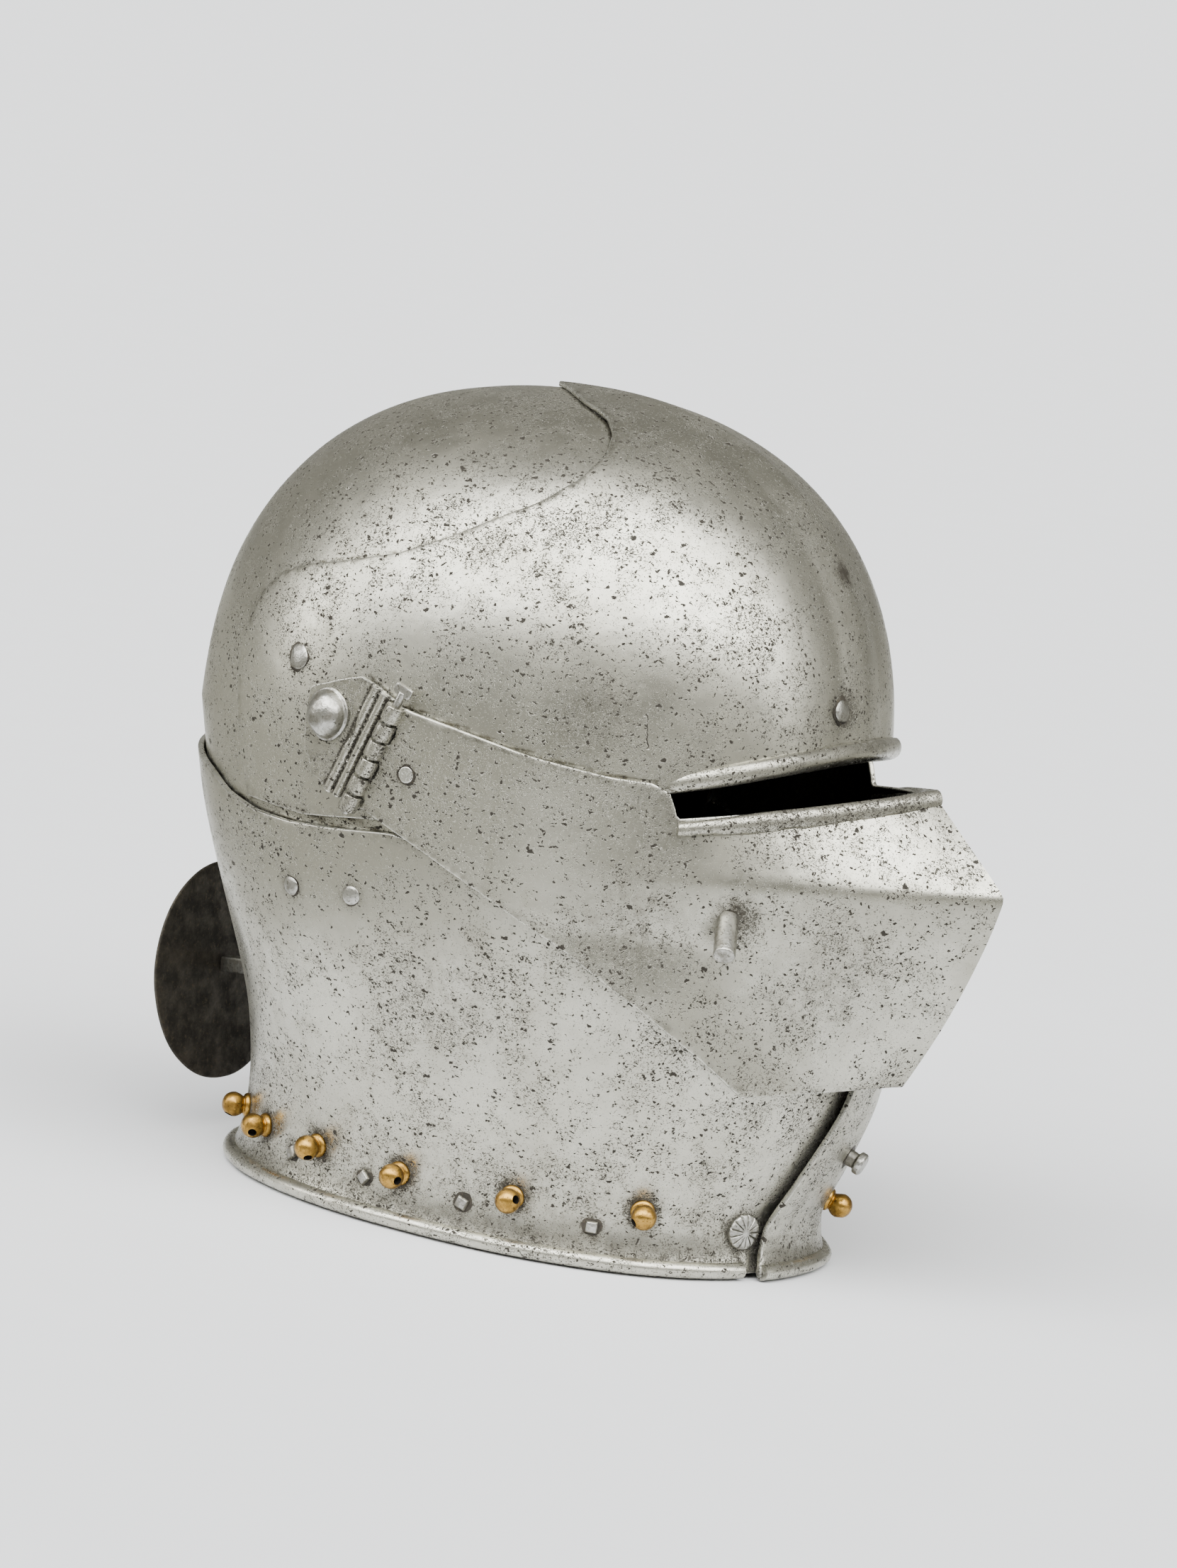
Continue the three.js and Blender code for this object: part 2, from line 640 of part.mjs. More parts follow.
// The peg that lifts the visor, on the wearer's right; it hangs outwards and down.
function liftPeg() {
  const row = visorRow(119);
  let c = 0;
  while (row[c + 1].y < -138) c++;
  const at = row[c].clone().lerp(row[c + 1], (-138 - row[c].y) / (row[c + 1].y - row[c].y));
  const dir = new THREE.Vector3(-0.7, -0.38, -0.61);
  const peg = turned([[0, -3], [3.6, -3], [3.6, 13], [2.8, 14.4], [0, 15]], 10);
  const outside = thickened(visorSheet(), 12);
  return geometryOf(solid(placed(peg, at.addScaledVector(dir, 0.3), dir)).subtract(outside));
}
add("lift_peg", liftPeg(), steel);

// A strap hinge inside each cheek plate carries it on the skull.
for (const [side, word] of [[-1, "right"], [1, "left"]]) {
  const room = side < 0 ? block(-120, -60, -6, 18, 92, 120) : block(60, 120, -6, 18, 92, 120);
  const leaf = plate([-4.2, -2.4]).intersect(room);
  add(`cheek_hinge_${word}`, geometryOf(leaf), steel);
}

// The origin sits under the middle of the helmet, on the ground it stands on.
const box = new THREE.Box3().setFromObject(group);
const middle = box.getCenter(new THREE.Vector3());
group.position.set(-middle.x, -middle.y, -box.min.z);

export default group;
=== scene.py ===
import math

import bpy
import numpy as np
from mathutils import Matrix, Vector


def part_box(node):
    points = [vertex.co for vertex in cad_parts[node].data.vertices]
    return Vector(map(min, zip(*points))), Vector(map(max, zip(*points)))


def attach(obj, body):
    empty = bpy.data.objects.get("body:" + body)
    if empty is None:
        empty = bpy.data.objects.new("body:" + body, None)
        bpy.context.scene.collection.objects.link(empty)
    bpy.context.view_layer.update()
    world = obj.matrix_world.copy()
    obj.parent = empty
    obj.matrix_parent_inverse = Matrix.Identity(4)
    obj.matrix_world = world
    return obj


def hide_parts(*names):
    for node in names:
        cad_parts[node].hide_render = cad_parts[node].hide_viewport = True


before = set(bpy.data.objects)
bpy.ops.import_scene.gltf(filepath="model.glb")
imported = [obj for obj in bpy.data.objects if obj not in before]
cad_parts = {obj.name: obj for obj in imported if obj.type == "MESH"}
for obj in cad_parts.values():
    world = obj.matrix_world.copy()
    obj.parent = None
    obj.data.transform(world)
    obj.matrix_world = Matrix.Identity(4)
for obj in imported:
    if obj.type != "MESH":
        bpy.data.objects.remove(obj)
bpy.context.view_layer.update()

# Italian armet of about 1475. Shapes are worked out in millimetres in the armourer's own frame, with the
# wearer's right at -X and the face towards -Y, then moved into the row's frame in metres.
studLow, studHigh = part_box("pivot_stud_right")
pivot = (-11.0, 161.0)  # y and z of the visor's pivots
rowShift = np.array([0.0, (studLow.y + studHigh.y) * 500 - pivot[0], 0.0])


def toRow(points):
    return (np.asarray(points, float) + rowShift) / 1000


# small maths
def clamp01(t):
    return np.clip(t, 0.0, 1.0)


def mix(a, b, t):
    return a + (b - a) * t


def ease(t):
    t = clamp01(t)
    return t * t * (3 - 2 * t)


def unit(v):
    v = np.asarray(v, float)
    return v / np.maximum(np.linalg.norm(v, axis=-1, keepdims=True), 1e-12)


def latticeNoise(points, size, seed):
    # -1 to 1, smooth, with bumps about size mm across.
    q = np.asarray(points, float) / size + seed * 17.37
    cell = np.floor(q).astype(np.int64)
    f = q - cell
    f = f * f * f * (f * (f * 6 - 15) + 10)
    total = 0.0
    for corner in range(8):
        step = np.array([corner & 1, (corner >> 1) & 1, (corner >> 2) & 1])
        at = cell + step
        h = (at[..., 0] * 73856093) ^ (at[..., 1] * 19349663) ^ (at[..., 2] * 83492791) ^ (seed * 2654435)
        h = (h ^ (h >> 13)) * 1274126177
        h = (h ^ (h >> 16)) & 0xFFFF
        weight = np.prod(np.where(step == 1, f, 1 - f), axis=-1)
        total = total + weight * (h / 32767.5 - 1)
    return total


# the head form that every plate follows
form = {
    "widest": 150.0,  # height of the widest level
    "crown": 263.0,
    "crownY": -33.0,
    "keelHeight": 2.2,  # low medial keel of the brow
    # height, half width, front, back
    "levels": np.array([
        [-4, 71.5, -147, 52.5],
        [0, 70, -146, 51],
        [8, 67.5, -143.5, 48],
        [18, 67, -143, 46.5],
        [35, 70.5, -149.5, 46],
        [60, 79.5, -157, 48.5],
        [90, 87.5, -156, 59],
        [120, 91.5, -150, 71],
        [150, 93, -146, 79.5],
    ]),
}
# plates as distances out from the form: inner skin, outer skin
plates = {
    "skull": (-2.0, 0.0),
    "brow": (0.3, 2.1),
    "cheek": (0.8, 2.8),
    "chinLap": 4.0,  # the left cheek plate steps out over the right one
    "visorOut": 5.6,
    "visorThick": 1.9,
}


def through(column, at):
    rows = form["levels"]
    i = np.clip(np.searchsorted(rows[:, 0], at, side="left") - 1, 0, len(rows) - 2)
    last = len(rows) - 1

    def slope(j):
        lo, hi = np.maximum(j - 1, 0), np.minimum(j + 1, last)
        return (rows[hi, column] - rows[lo, column]) / (rows[hi, 0] - rows[lo, 0])

    step = rows[i + 1, 0] - rows[i, 0]
    t = (at - rows[i, 0]) / step
    rise = rows[i + 1, column] - rows[i, column]
    a = slope(i) * step - rise
    b = rise - slope(i + 1) * step
    return mix(rows[i, column], rows[i + 1, column], t) + t * (1 - t) * (a * (1 - t) + b * t)


def formPoint(turn, z):
    # turn 0 is the front, positive over the wearer's right.
    turn, z = np.broadcast_arrays(np.asarray(turn, float), np.asarray(z, float))
    low = np.minimum(z, form["widest"])
    centre = mix(-50.0, form["crownY"], ease(low / form["widest"]))
    t = clamp01((z - form["widest"]) / (form["crown"] - form["widest"]))
    half = through(1, low) * (1 - t ** 2.25) ** (1 / 2.25)
    front = (centre - through(2, low)) * (1 - t ** 2.4) ** (1 / 2.4)
    back = (through(3, low) - centre) * (1 - t ** 2.35) ** (1 / 2.35)
    c, s = np.cos(turn), np.sin(turn)
    power = np.where(c > 0, 2 / 2.15, 2 / 2.2)
    reach = np.where(c > 0, front, back)
    x = -half * np.sign(s) * np.abs(s) ** power
    y = centre - np.sign(c) * reach * np.abs(c) ** power
    return np.stack([x, y, z], -1)


def heightAt(rise):
    rise = np.asarray(rise, float)
    top = form["widest"] + (form["crown"] - form["widest"]) * np.sin((np.clip(rise, 1, 2) - 1) * math.pi / 2)
    return np.where(rise <= 1, mix(-4.0, form["widest"], rise), top)


def riseOf(z):
    z = np.asarray(z, float)
    t = clamp01((z - form["widest"]) / (form["crown"] - form["widest"]))
    return np.where(z <= form["widest"], (z + 4) / (form["widest"] + 4), 1 + np.arcsin(t) / (math.pi / 2))


def formNormal(turn, rise):
    d = 0.004
    low = np.minimum(rise, 1.985)
    across = formPoint(turn + d, heightAt(low)) - formPoint(turn - d, heightAt(low))
    up = formPoint(turn, heightAt(low + d)) - formPoint(turn, heightAt(low - d))
    return unit(np.cross(up, across))


def offsetPoint(turn, rise, out):
    turn, rise = np.broadcast_arrays(np.asarray(turn, float), np.asarray(rise, float))
    at = formPoint(turn, heightAt(rise))
    normal = formNormal(turn, rise)
    top = ease((rise - 1.75) / 0.25)[..., None]
    normal = unit(mix(normal, np.array([0.0, 0.0, 1.0]), top ** 3))
    keel = clamp01(1 - np.sqrt(at[..., 0] ** 2 + 0.8) / 13) * ease((10 - at[..., 1]) / 60)
    keel = keel * ease((at[..., 2] - 140) / 30) * mix(1.0, 0.7, ease((at[..., 2] - 250) / 12))
    return at + normal * (np.asarray(out) + form["keelHeight"] * keel)[..., None]


def turnAt(y, z):
    y, z = np.broadcast_arrays(np.asarray(y, float), np.asarray(z, float))
    lo, hi = np.zeros(y.shape), np.full(y.shape, math.pi)
    for _ in range(34):
        mid = (lo + hi) / 2
        below = formPoint(mid, z)[..., 1] < y
        lo, hi = np.where(below, mid, lo), np.where(below, hi, mid)
    return (lo + hi) / 2


def seat(side, y, z, out):
    # Point and outward direction on one side (-1 right, 1 left) at y, z, out mm off the form.
    turn = turnAt(y, z) * -side
    return offsetPoint(turn, riseOf(z), out), formNormal(turn, riseOf(z))


# cutting a plate out of a surface
def outlineDistance(points2, outline):
    # Distance inside (+) or outside (-) a closed outline, in mm.
    p = np.asarray(points2, float)
    poly = np.asarray(outline, float)
    best = np.full(len(p), 1e18)
    inside = np.zeros(len(p), bool)
    for a, b in zip(poly, np.roll(poly, -1, axis=0)):
        ab = b - a
        t = clamp01(((p - a) @ ab) / max(ab @ ab, 1e-12))
        best = np.minimum(best, ((p - a - t[:, None] * ab) ** 2).sum(1))
        straddles = (a[1] > p[:, 1]) != (b[1] > p[:, 1])
        with np.errstate(divide="ignore", invalid="ignore"):
            crossing = a[0] + (p[:, 1] - a[1]) / (b[1] - a[1]) * (b[0] - a[0])
        inside ^= straddles & (p[:, 0] < crossing)
    return np.where(inside, 1, -1) * np.sqrt(best)


def cutSheet(point, keep, us, vs, spacing=2.0, closed=True):
    # The part of a u-v surface where keep(points) > 0, cut cleanly along keep = 0.
    gridU, gridV = np.meshgrid(us, vs)
    uv = np.stack([gridU.ravel(), gridV.ravel()], 1)
    du, dv = us[1] - us[0], vs[1] - vs[0]
    value = lambda q: keep(point(q[:, 0], q[:, 1]))
    f = value(uv)
    near = np.nonzero(np.abs(f) < spacing * 1.3)[0]
    h = 0.05
    gu = (value(uv[near] + [h * du, 0]) - f[near]) / h
    gv = (value(uv[near] + [0, h * dv]) - f[near]) / h
    g2 = np.maximum(gu * gu + gv * gv, 1e-9)
    step = -(f[near] / g2)[:, None] * np.stack([gu, gv], 1)
    small = np.hypot(step[:, 0], step[:, 1]) < 0.4
    moved, step, grad = near[small], step[small], np.stack([gu, gv], 1)[small] / g2[small][:, None]
    start = uv[moved].copy()
    for _ in range(3):
        uv[moved] = start + step * [du, dv]
        f[moved] = value(uv[moved])
        step = step - f[moved][:, None] * grad
        step = step * np.minimum(1, 0.48 / np.maximum(np.hypot(step[:, 0], step[:, 1]), 1e-9))[:, None]
    uv[moved] = start + step * [du, dv]
    sign = np.sign(f).astype(int)
    sign[moved] = 0
    nu = len(us)
    r, c = np.meshgrid(np.arange(len(vs) - 1), np.arange(nu - 1), indexing="ij")
    a = (r * nu + c).ravel()
    flip = ((r + c) % 2 == 0).ravel()
    b, d, e = a + 1, a + nu, a + nu + 1
    one = np.where(flip[:, None], np.stack([a, b, e], 1), np.stack([a, b, d], 1))
    two = np.where(flip[:, None], np.stack([a, e, d], 1), np.stack([b, e, d], 1))
    tris = np.concatenate([one, two])
    s = sign[tris]
    whole = (s >= 0).all(1) & (s > 0).any(1)
    mixed = (s > 0).any(1) & (s < 0).any(1)
    kept = [tris[whole]]
    flat = (s == 0).all(1)
    if flat.any():
        middle = uv[tris[flat]].mean(1)
        kept.append(tris[flat][value(middle) > 0])
    edges = {}
    ends = []
    for tri in tris[mixed]:
        for i in range(3):
            m, n = tri[i], tri[(i + 1) % 3]
            if sign[m] * sign[n] < 0:
                key = (min(m, n), max(m, n))
                if key not in edges:
                    edges[key] = len(uv) + len(ends)
                    ends.append((m, n) if sign[m] > 0 else (n, m))
    if ends:
        ends = np.array(ends)
        lo, hi = uv[ends[:, 0]].copy(), uv[ends[:, 1]].copy()
        for _ in range(16):
            mid = (lo + hi) / 2
            good = (value(mid) > 0)[:, None]
            lo, hi = np.where(good, mid, lo), np.where(good, hi, mid)
        uv = np.concatenate([uv, lo])
    extra = []
    for tri in tris[mixed]:
        ring = []
        for i in range(3):
            m, n = tri[i], tri[(i + 1) % 3]
            if sign[m] >= 0:
                ring.append(m)
            if sign[m] * sign[n] < 0:
                ring.append(edges[(min(m, n), max(m, n))])
        for i in range(1, len(ring) - 1):
            extra.append((ring[0], ring[i], ring[i + 1]))
    if extra:
        kept.append(np.array(extra))
    tris = np.concatenate(kept)
    if closed:  # the seam at the back and the pole are one line and one point
        turn = (uv[:, 0] + math.pi) % (2 * math.pi) - math.pi
        turn[turn > math.pi - 1e-7] = -math.pi
        turn[uv[:, 1] > 2 - 1e-7] = 0
        uv = np.stack([turn, uv[:, 1]], 1)
    keys, back = np.unique(np.round(uv, 8), axis=0, return_inverse=True)
    tris = back.reshape(-1)[tris]
    tris = tris[(tris[:, 0] != tris[:, 1]) & (tris[:, 1] != tris[:, 2]) & (tris[:, 2] != tris[:, 0])]
    used, tris = np.unique(tris, return_inverse=True)
    return keys[used], tris.reshape(-1, 3)


def plateMesh(outer, inner, tris, edgeRound=0.5):
    # A closed plate between two skins of the same triangles, with a rounded edge.
    # Returns points, triangles and which triangles are inside faces.
    n = len(outer)
    normal = unit(outer - inner)
    a, b, c = outer[tris[:, 0]], outer[tris[:, 1]], outer[tris[:, 2]]
    if (np.cross(b - a, c - a) * normal[tris[:, 0]]).sum() < 0:
        tris = tris[:, ::-1]
    directed = np.concatenate([tris[:, [0, 1]], tris[:, [1, 2]], tris[:, [2, 0]]])
    code = directed[:, 0].astype(np.int64) * n + directed[:, 1]
    back = directed[:, 1].astype(np.int64) * n + directed[:, 0]
    rim = directed[~np.isin(code, back)]
    inward = np.zeros((n, 3))
    along = unit(outer[rim[:, 1]] - outer[rim[:, 0]])
    side = np.cross(normal[rim[:, 0]], along)
    np.add.at(inward, rim[:, 0], side)
    np.add.at(inward, rim[:, 1], side)
    edge = np.unique(rim)
    inward[edge] = unit(inward[edge])
    place = np.full(n, -1)
    place[edge] = np.arange(len(edge))
    w, m = inward[edge], normal[edge]
    top, under = outer[edge], inner[edge]
    r = edgeRound
    rings = [
        top + w * 0.293 * r - m * 0.293 * r,
        top - m * r,
        under + m * r,
        under + w * 0.293 * r + m * 0.293 * r,
    ]
    outer, inner = outer.copy(), inner.copy()
    outer[edge] += w * r
    inner[edge] += w * r
    points = np.concatenate([outer, inner, *rings])
    faces = [tris, tris[:, ::-1] + n]
    p, q = rim[:, 0], rim[:, 1]
    ids = [(p, q)]
    for k in range(4):
        ids.append((2 * n + k * len(edge) + place[p], 2 * n + k * len(edge) + place[q]))
    ids.append((p + n, q + n))
    for (p0, q0), (p1, q1) in zip(ids, ids[1:]):
        faces.append(np.stack([q0, p0, p1], 1))
        faces.append(np.stack([q0, p1, q1], 1))
    insideFace = np.zeros(sum(len(f) for f in faces), bool)
    insideFace[len(tris):2 * len(tris)] = True
    return points, np.concatenate(faces), insideFace


def ringsMesh(rings):
    # a closed skin over rings of points, capped at both ends
    rings = np.asarray(rings, float)
    count, n = rings.shape[:2]
    points = [rings.reshape(-1, 3)]
    k = np.arange(n)
    nxt = (k + 1) % n
    faces = []
    for r in range(count - 1):
        a, b = r * n, (r + 1) * n
        faces += [np.stack([a + k, a + nxt, b + nxt], 1), np.stack([a + k, b + nxt, b + k], 1)]
    total = count * n
    for ring, order in ((0, 1), (count - 1, -1)):
        points.append(rings[ring].mean(0)[None])
        cap = np.stack([np.full(n, total), ring * n + nxt, ring * n + k], 1)
        faces.append(cap[:, ::order])
        total += 1
    points, faces = np.concatenate(points), np.concatenate(faces)
    a, b, c = (points[faces[:, i]] for i in range(3))
    if (np.cross(a, b) * c).sum() < 0:
        faces = faces[:, ::-1]
    return points, faces


def fillet(profile, radius=0.35, steps=3):
    pts = [np.array(p, float) for p in profile]
    out = [pts[0]]
    for a, b, c in zip(pts, pts[1:], pts[2:]):
        cut = min(radius, 0.45 * np.linalg.norm(a - b), 0.45 * np.linalg.norm(c - b))
        p, q = b + unit(a - b) * cut, b + unit(c - b) * cut
        for k in range(steps + 1):
            t = k / steps
            out.append((1 - t) ** 2 * p + 2 * t * (1 - t) * b + t * t * q)
    out.append(pts[-1])
    return out


def turnedRings(profile, sides=40):
    # A turned piece along +Z from [radius, height] points.
    a = np.linspace(0, 2 * math.pi, sides, endpoint=False)
    return np.array([np.stack([r * np.cos(a), r * np.sin(a), np.full(sides, h)], 1) for r, h in profile])


def placed(points, at, direction, spin=0.0):
    z = unit(direction)
    side = unit(np.cross([0.0, 0.0, 1.0], z)) if abs(z[2]) < 0.98 else np.array([1.0, 0, 0])
    up = np.cross(z, side)
    x = math.cos(spin) * side + math.sin(spin) * up
    y = np.cross(z, x)
    return np.asarray(points) @ np.stack([x, y, z]) + at


def joinMeshes(parts):
    points, faces, start = [], [], 0
    for p, f in parts:
        points.append(p)
        faces.append(f + start)
        start += len(p)
    return np.concatenate(points), np.concatenate(faces)


# colour and materials
def towards(azimuth, elevation):
    a, e = math.radians(azimuth), math.radians(elevation)
    return Vector((math.sin(a) * math.cos(e), -math.cos(a) * math.cos(e), math.sin(e)))


def colour(hexValue):
    # sRGB hex to linear.
    parts = [int(hexValue[i:i + 2], 16) / 255 for i in (0, 2, 4)]
    return [p / 12.92 if p <= 0.04045 else ((p + 0.055) / 1.055) ** 2.4 for p in parts] + [1.0]


def addNode(tree, kind, inputs=None, **settings):
    made = tree.nodes.new(kind)
    for key, setting in settings.items():
        setattr(made, key, setting)
    for key, given in (inputs or {}).items():
        if isinstance(given, bpy.types.NodeSocket):
            tree.links.new(given, made.inputs[key])
        else:
            made.inputs[key].default_value = given
    return made


maths, vectorMath, mapRange = "ShaderNodeMath", "ShaderNodeVectorMath", "ShaderNodeMapRange"
noiseTexture, cells, mixer = "ShaderNodeTexNoise", "ShaderNodeTexVoronoi", "ShaderNodeMix"


def calc(tree, operation, *given, **more):
    # one step of arithmetic between shader values
    return addNode(tree, maths, dict(enumerate(given)), operation=operation, **more).outputs[0]


def vectorCalc(tree, operation, *given):
    # the same for vectors; a dot product or a distance comes out as a number
    inputs = {0: given[0], "Scale": given[1]} if operation == "SCALE" else dict(enumerate(given))
    output = 1 if operation in ("DOT_PRODUCT", "DISTANCE") else 0
    return addNode(tree, vectorMath, inputs, operation=operation).outputs[output]


def ramp(tree, value, start, end, low=0.0, high=1.0, smooth=False):
    # low at start and high at end, level beyond both
    return addNode(tree, mapRange, {0: value, 1: start, 2: end, 3: low, 4: high},
                   interpolation_type="SMOOTHSTEP" if smooth else "LINEAR").outputs[0]


def blend(tree, share, first, second):
    return addNode(tree, mixer, {0: share, 6: first, 7: second}, data_type="RGBA").outputs[2]


def noise(tree, at, scale, detail, roughness=0.5):
    return addNode(tree, noiseTexture, {"Vector": at, "Scale": scale, "Detail": detail,
                                        "Roughness": roughness}).outputs[0]


def newMaterial(name):
    material = bpy.data.materials.new(name)
    material.use_nodes = True
    tree = material.node_tree
    tree.nodes.clear()
    shader = addNode(tree, "ShaderNodeBsdfPrincipled")
    output = addNode(tree, "ShaderNodeOutputMaterial", {0: shader.outputs[0]})
    place = addNode(tree, "ShaderNodeTexCoord").outputs["Object"]
    millimetres = vectorCalc(tree, "SCALE", place, 1000.0)
    return material, tree, shader, millimetres


plateSteel = {
    "silver": "c0beb2",
    "warmGrey": "a5a294",
    "pit": "2b2720",
    # dark colour of grime and rust, also used for the painted shadow along seams
    "dirtAndShade": "4c473b",
    "bright": "dcdcd4",
    "roughness": 0.3,
    "clusterSize": 21.0,  # mm across the patches where pits crowd
    "bigPit": 3.0,  # mm between the larger pits
    "smallPit": 1.15,
    "speckle": 0.5,
    "grind": 0.35,  # mm, the marks of old polishing, drawn coarser than they are
}


def hammeredSteel(name, seed=0.0, cracks=(), look=plateSteel):
    # Hand-hammered low-carbon steel plate, ground and polished, then pitted by five centuries of rust:
    # a soft silver sheen with broad wavy highlights, broken by dark pits that crowd in patches.
    material, tree, shader, mm = newMaterial(name)
    mm = vectorCalc(tree, "ADD", mm, (seed, seed * 2.3, -seed))
    wobble = addNode(tree, noiseTexture, {"Vector": mm, "Scale": 0.6, "Detail": 2.0}).outputs["Color"]
    warped = vectorCalc(tree, "SUBTRACT", wobble, (0.5, 0.5, 0.5))
    warped = vectorCalc(tree, "MULTIPLY_ADD", warped, (2.6, 2.6, 2.6), mm)
    stretched = vectorCalc(tree, "MULTIPLY", warped, (1.0, 0.72, 1.25))

    # where the pits crowd
    broad = noise(tree, mm, 1 / look["clusterSize"], 4.0, 0.62)
    close = noise(tree, warped, 1 / 6.5, 3.0, 0.6)
    crowd = calc(tree, "MULTIPLY_ADD", close, 0.8, broad)
    crowd = ramp(tree, crowd, 0.74, 1.06, 0.2, 1.0, smooth=True)
    stain = addNode(tree, "ShaderNodeAttribute", attribute_name="stain").outputs["Fac"]
    edge = addNode(tree, "ShaderNodeAttribute", attribute_name="edge").outputs["Fac"]
    crowd = calc(tree, "MAXIMUM", crowd, stain)

    # pits of two sizes with fine speckle between, each cell with its own size of pit
    pit = None
    for spacing, largest, share in ((look["bigPit"], 0.28, 0.42), (look["smallPit"], 0.46, 1.15)):
        cell = addNode(tree, cells, {"Vector": stretched, "Scale": 1 / spacing})
        chance = addNode(tree, "ShaderNodeSeparateColor", {0: cell.outputs["Color"]}).outputs
        size = calc(tree, "POWER", chance[0], 1.5)
        size = calc(tree, "MULTIPLY_ADD", size, largest, 0.06)
        reach = calc(tree, "MULTIPLY_ADD", crowd, share, -0.03)
        present = calc(tree, "LESS_THAN", chance[1], reach)
        size = calc(tree, "MULTIPLY", size, present)
        ragged = noise(tree, mm, 3.0 / spacing, 2.0)
        far = calc(tree, "MULTIPLY_ADD", ragged, 0.35, cell.outputs["Distance"])
        far = calc(tree, "SUBTRACT", far, 0.16)
        gap = calc(tree, "SUBTRACT", size, far)
        mask = ramp(tree, gap, -0.02, 0.07, smooth=True)
        pit = mask if pit is None else calc(tree, "MAXIMUM", pit, mask)
    fine = noise(tree, stretched, 1 / look["speckle"], 2.0, 0.6)
    level = ramp(tree, crowd, 0.0, 1.0, 0.68, 0.545)
    level = calc(tree, "MULTIPLY_ADD", stain, -0.13, level)
    fine = calc(tree, "SUBTRACT", fine, level)
    fine = ramp(tree, fine, -0.01, 0.07, 0.0, 0.85)
    pit = calc(tree, "MAXIMUM", pit, fine)

    for start, end, width in cracks:  # a split in the plate, as a thin dark line
        start, end = Vector(toRow(start) * 1000), Vector(toRow(end) * 1000)
        start += Vector((seed, seed * 2.3, -seed))
        end += Vector((seed, seed * 2.3, -seed))
        run = end - start
        local = vectorCalc(tree, "SUBTRACT", warped, start)
        share = vectorCalc(tree, "DOT_PRODUCT", local, run / run.length_squared)
        share = calc(tree, "ADD", share, 0.0, use_clamp=True)
        on = vectorCalc(tree, "SCALE", run, share)
        away = vectorCalc(tree, "DISTANCE", local, on)
        line = ramp(tree, away, width, width * 0.4)
        pit = calc(tree, "MAXIMUM", pit, line)

    # colour: silver, greyer where a film of old oxide stays
    film = noise(tree, mm, 1 / 30, 7.0, 0.7)
    film = ramp(tree, film, 0.42, 0.68, 0.0, 0.6)
    haze = calc(tree, "MULTIPLY_ADD", crowd, 0.22, film, use_clamp=True)
    tint = blend(tree, haze, colour(look["silver"]), colour(look["warmGrey"]))
    grimeAndShade = ramp(tree, edge, 3.6, 0.3, 0.0, 0.9)
    patchy = noise(tree, mm, 1 / 3.2, 5.0, 0.65)
    patchy = ramp(tree, patchy, 0.42, 0.66, 0.0, 0.7)
    grimeAndShade = calc(tree, "MULTIPLY", grimeAndShade, patchy)
    rustAndSeamShade = calc(tree, "ADD", patchy, 0.3)
    rustAndSeamShade = calc(tree, "MULTIPLY", stain, rustAndSeamShade, use_clamp=True)
    # painted shadow: seam gives a thin dark line on this plate along the edge of each plate that lies over it, the
    # shade in the gap between them; it joins the rust and grime and takes their dark colour
    seam = addNode(tree, "ShaderNodeAttribute", attribute_name="seam").outputs["Fac"]
    seam = calc(tree, "MULTIPLY_ADD", patchy, 0.12, seam)
    seam = ramp(tree, seam, 0.86, 1.0, 0.0, 0.9)
    rustAndSeamShade = calc(tree, "MAXIMUM", rustAndSeamShade, seam)
    grimeAndShade = calc(tree, "MAXIMUM", grimeAndShade, rustAndSeamShade)
    tint = blend(tree, grimeAndShade, tint, colour(look["dirtAndShade"]))
    worn = ramp(tree, edge, 0.5, 0.0, 0.0, 0.7)
    tint = blend(tree, worn, tint, colour(look["bright"]))
    tint = blend(tree, pit, tint, colour(look["pit"]))
    tree.links.new(tint, shader.inputs["Base Color"])

    # gloss: rubbed bright, duller in the film and dead in the pits
    grind = vectorCalc(tree, "MULTIPLY", mm, (0.25, 1.6, 0.9))
    grind = noise(tree, grind, 1 / look["grind"], 2.0)
    rough = ramp(tree, haze, 0.0, 1.0, look["roughness"] - 0.05, look["roughness"] + 0.16)
    rough = calc(tree, "MULTIPLY_ADD", grind, 0.1, rough)
    rough = calc(tree, "SUBTRACT", rough, 0.05)
    rough = calc(tree, "MULTIPLY_ADD", pit, 0.4, rough, use_clamp=True)
    tree.links.new(rough, shader.inputs["Roughness"])
    metal = ramp(tree, pit, 0.0, 1.0, 1.0, 0.35)
    tree.links.new(metal, shader.inputs["Metallic"])

    # relief in millimetres
    planish = noise(tree, mm, 1 / 9, 2.0)
    relief = calc(tree, "MULTIPLY", pit, -0.16)
    relief = calc(tree, "MULTIPLY_ADD", planish, 0.16, relief)
    relief = calc(tree, "MULTIPLY_ADD", grind, 0.012, relief)
    bump = addNode(tree, "ShaderNodeBump", {"Strength": 1.0, "Distance": 0.001, "Height": relief}).outputs[0]
    tree.links.new(bump, shader.inputs["Normal"])
    return material


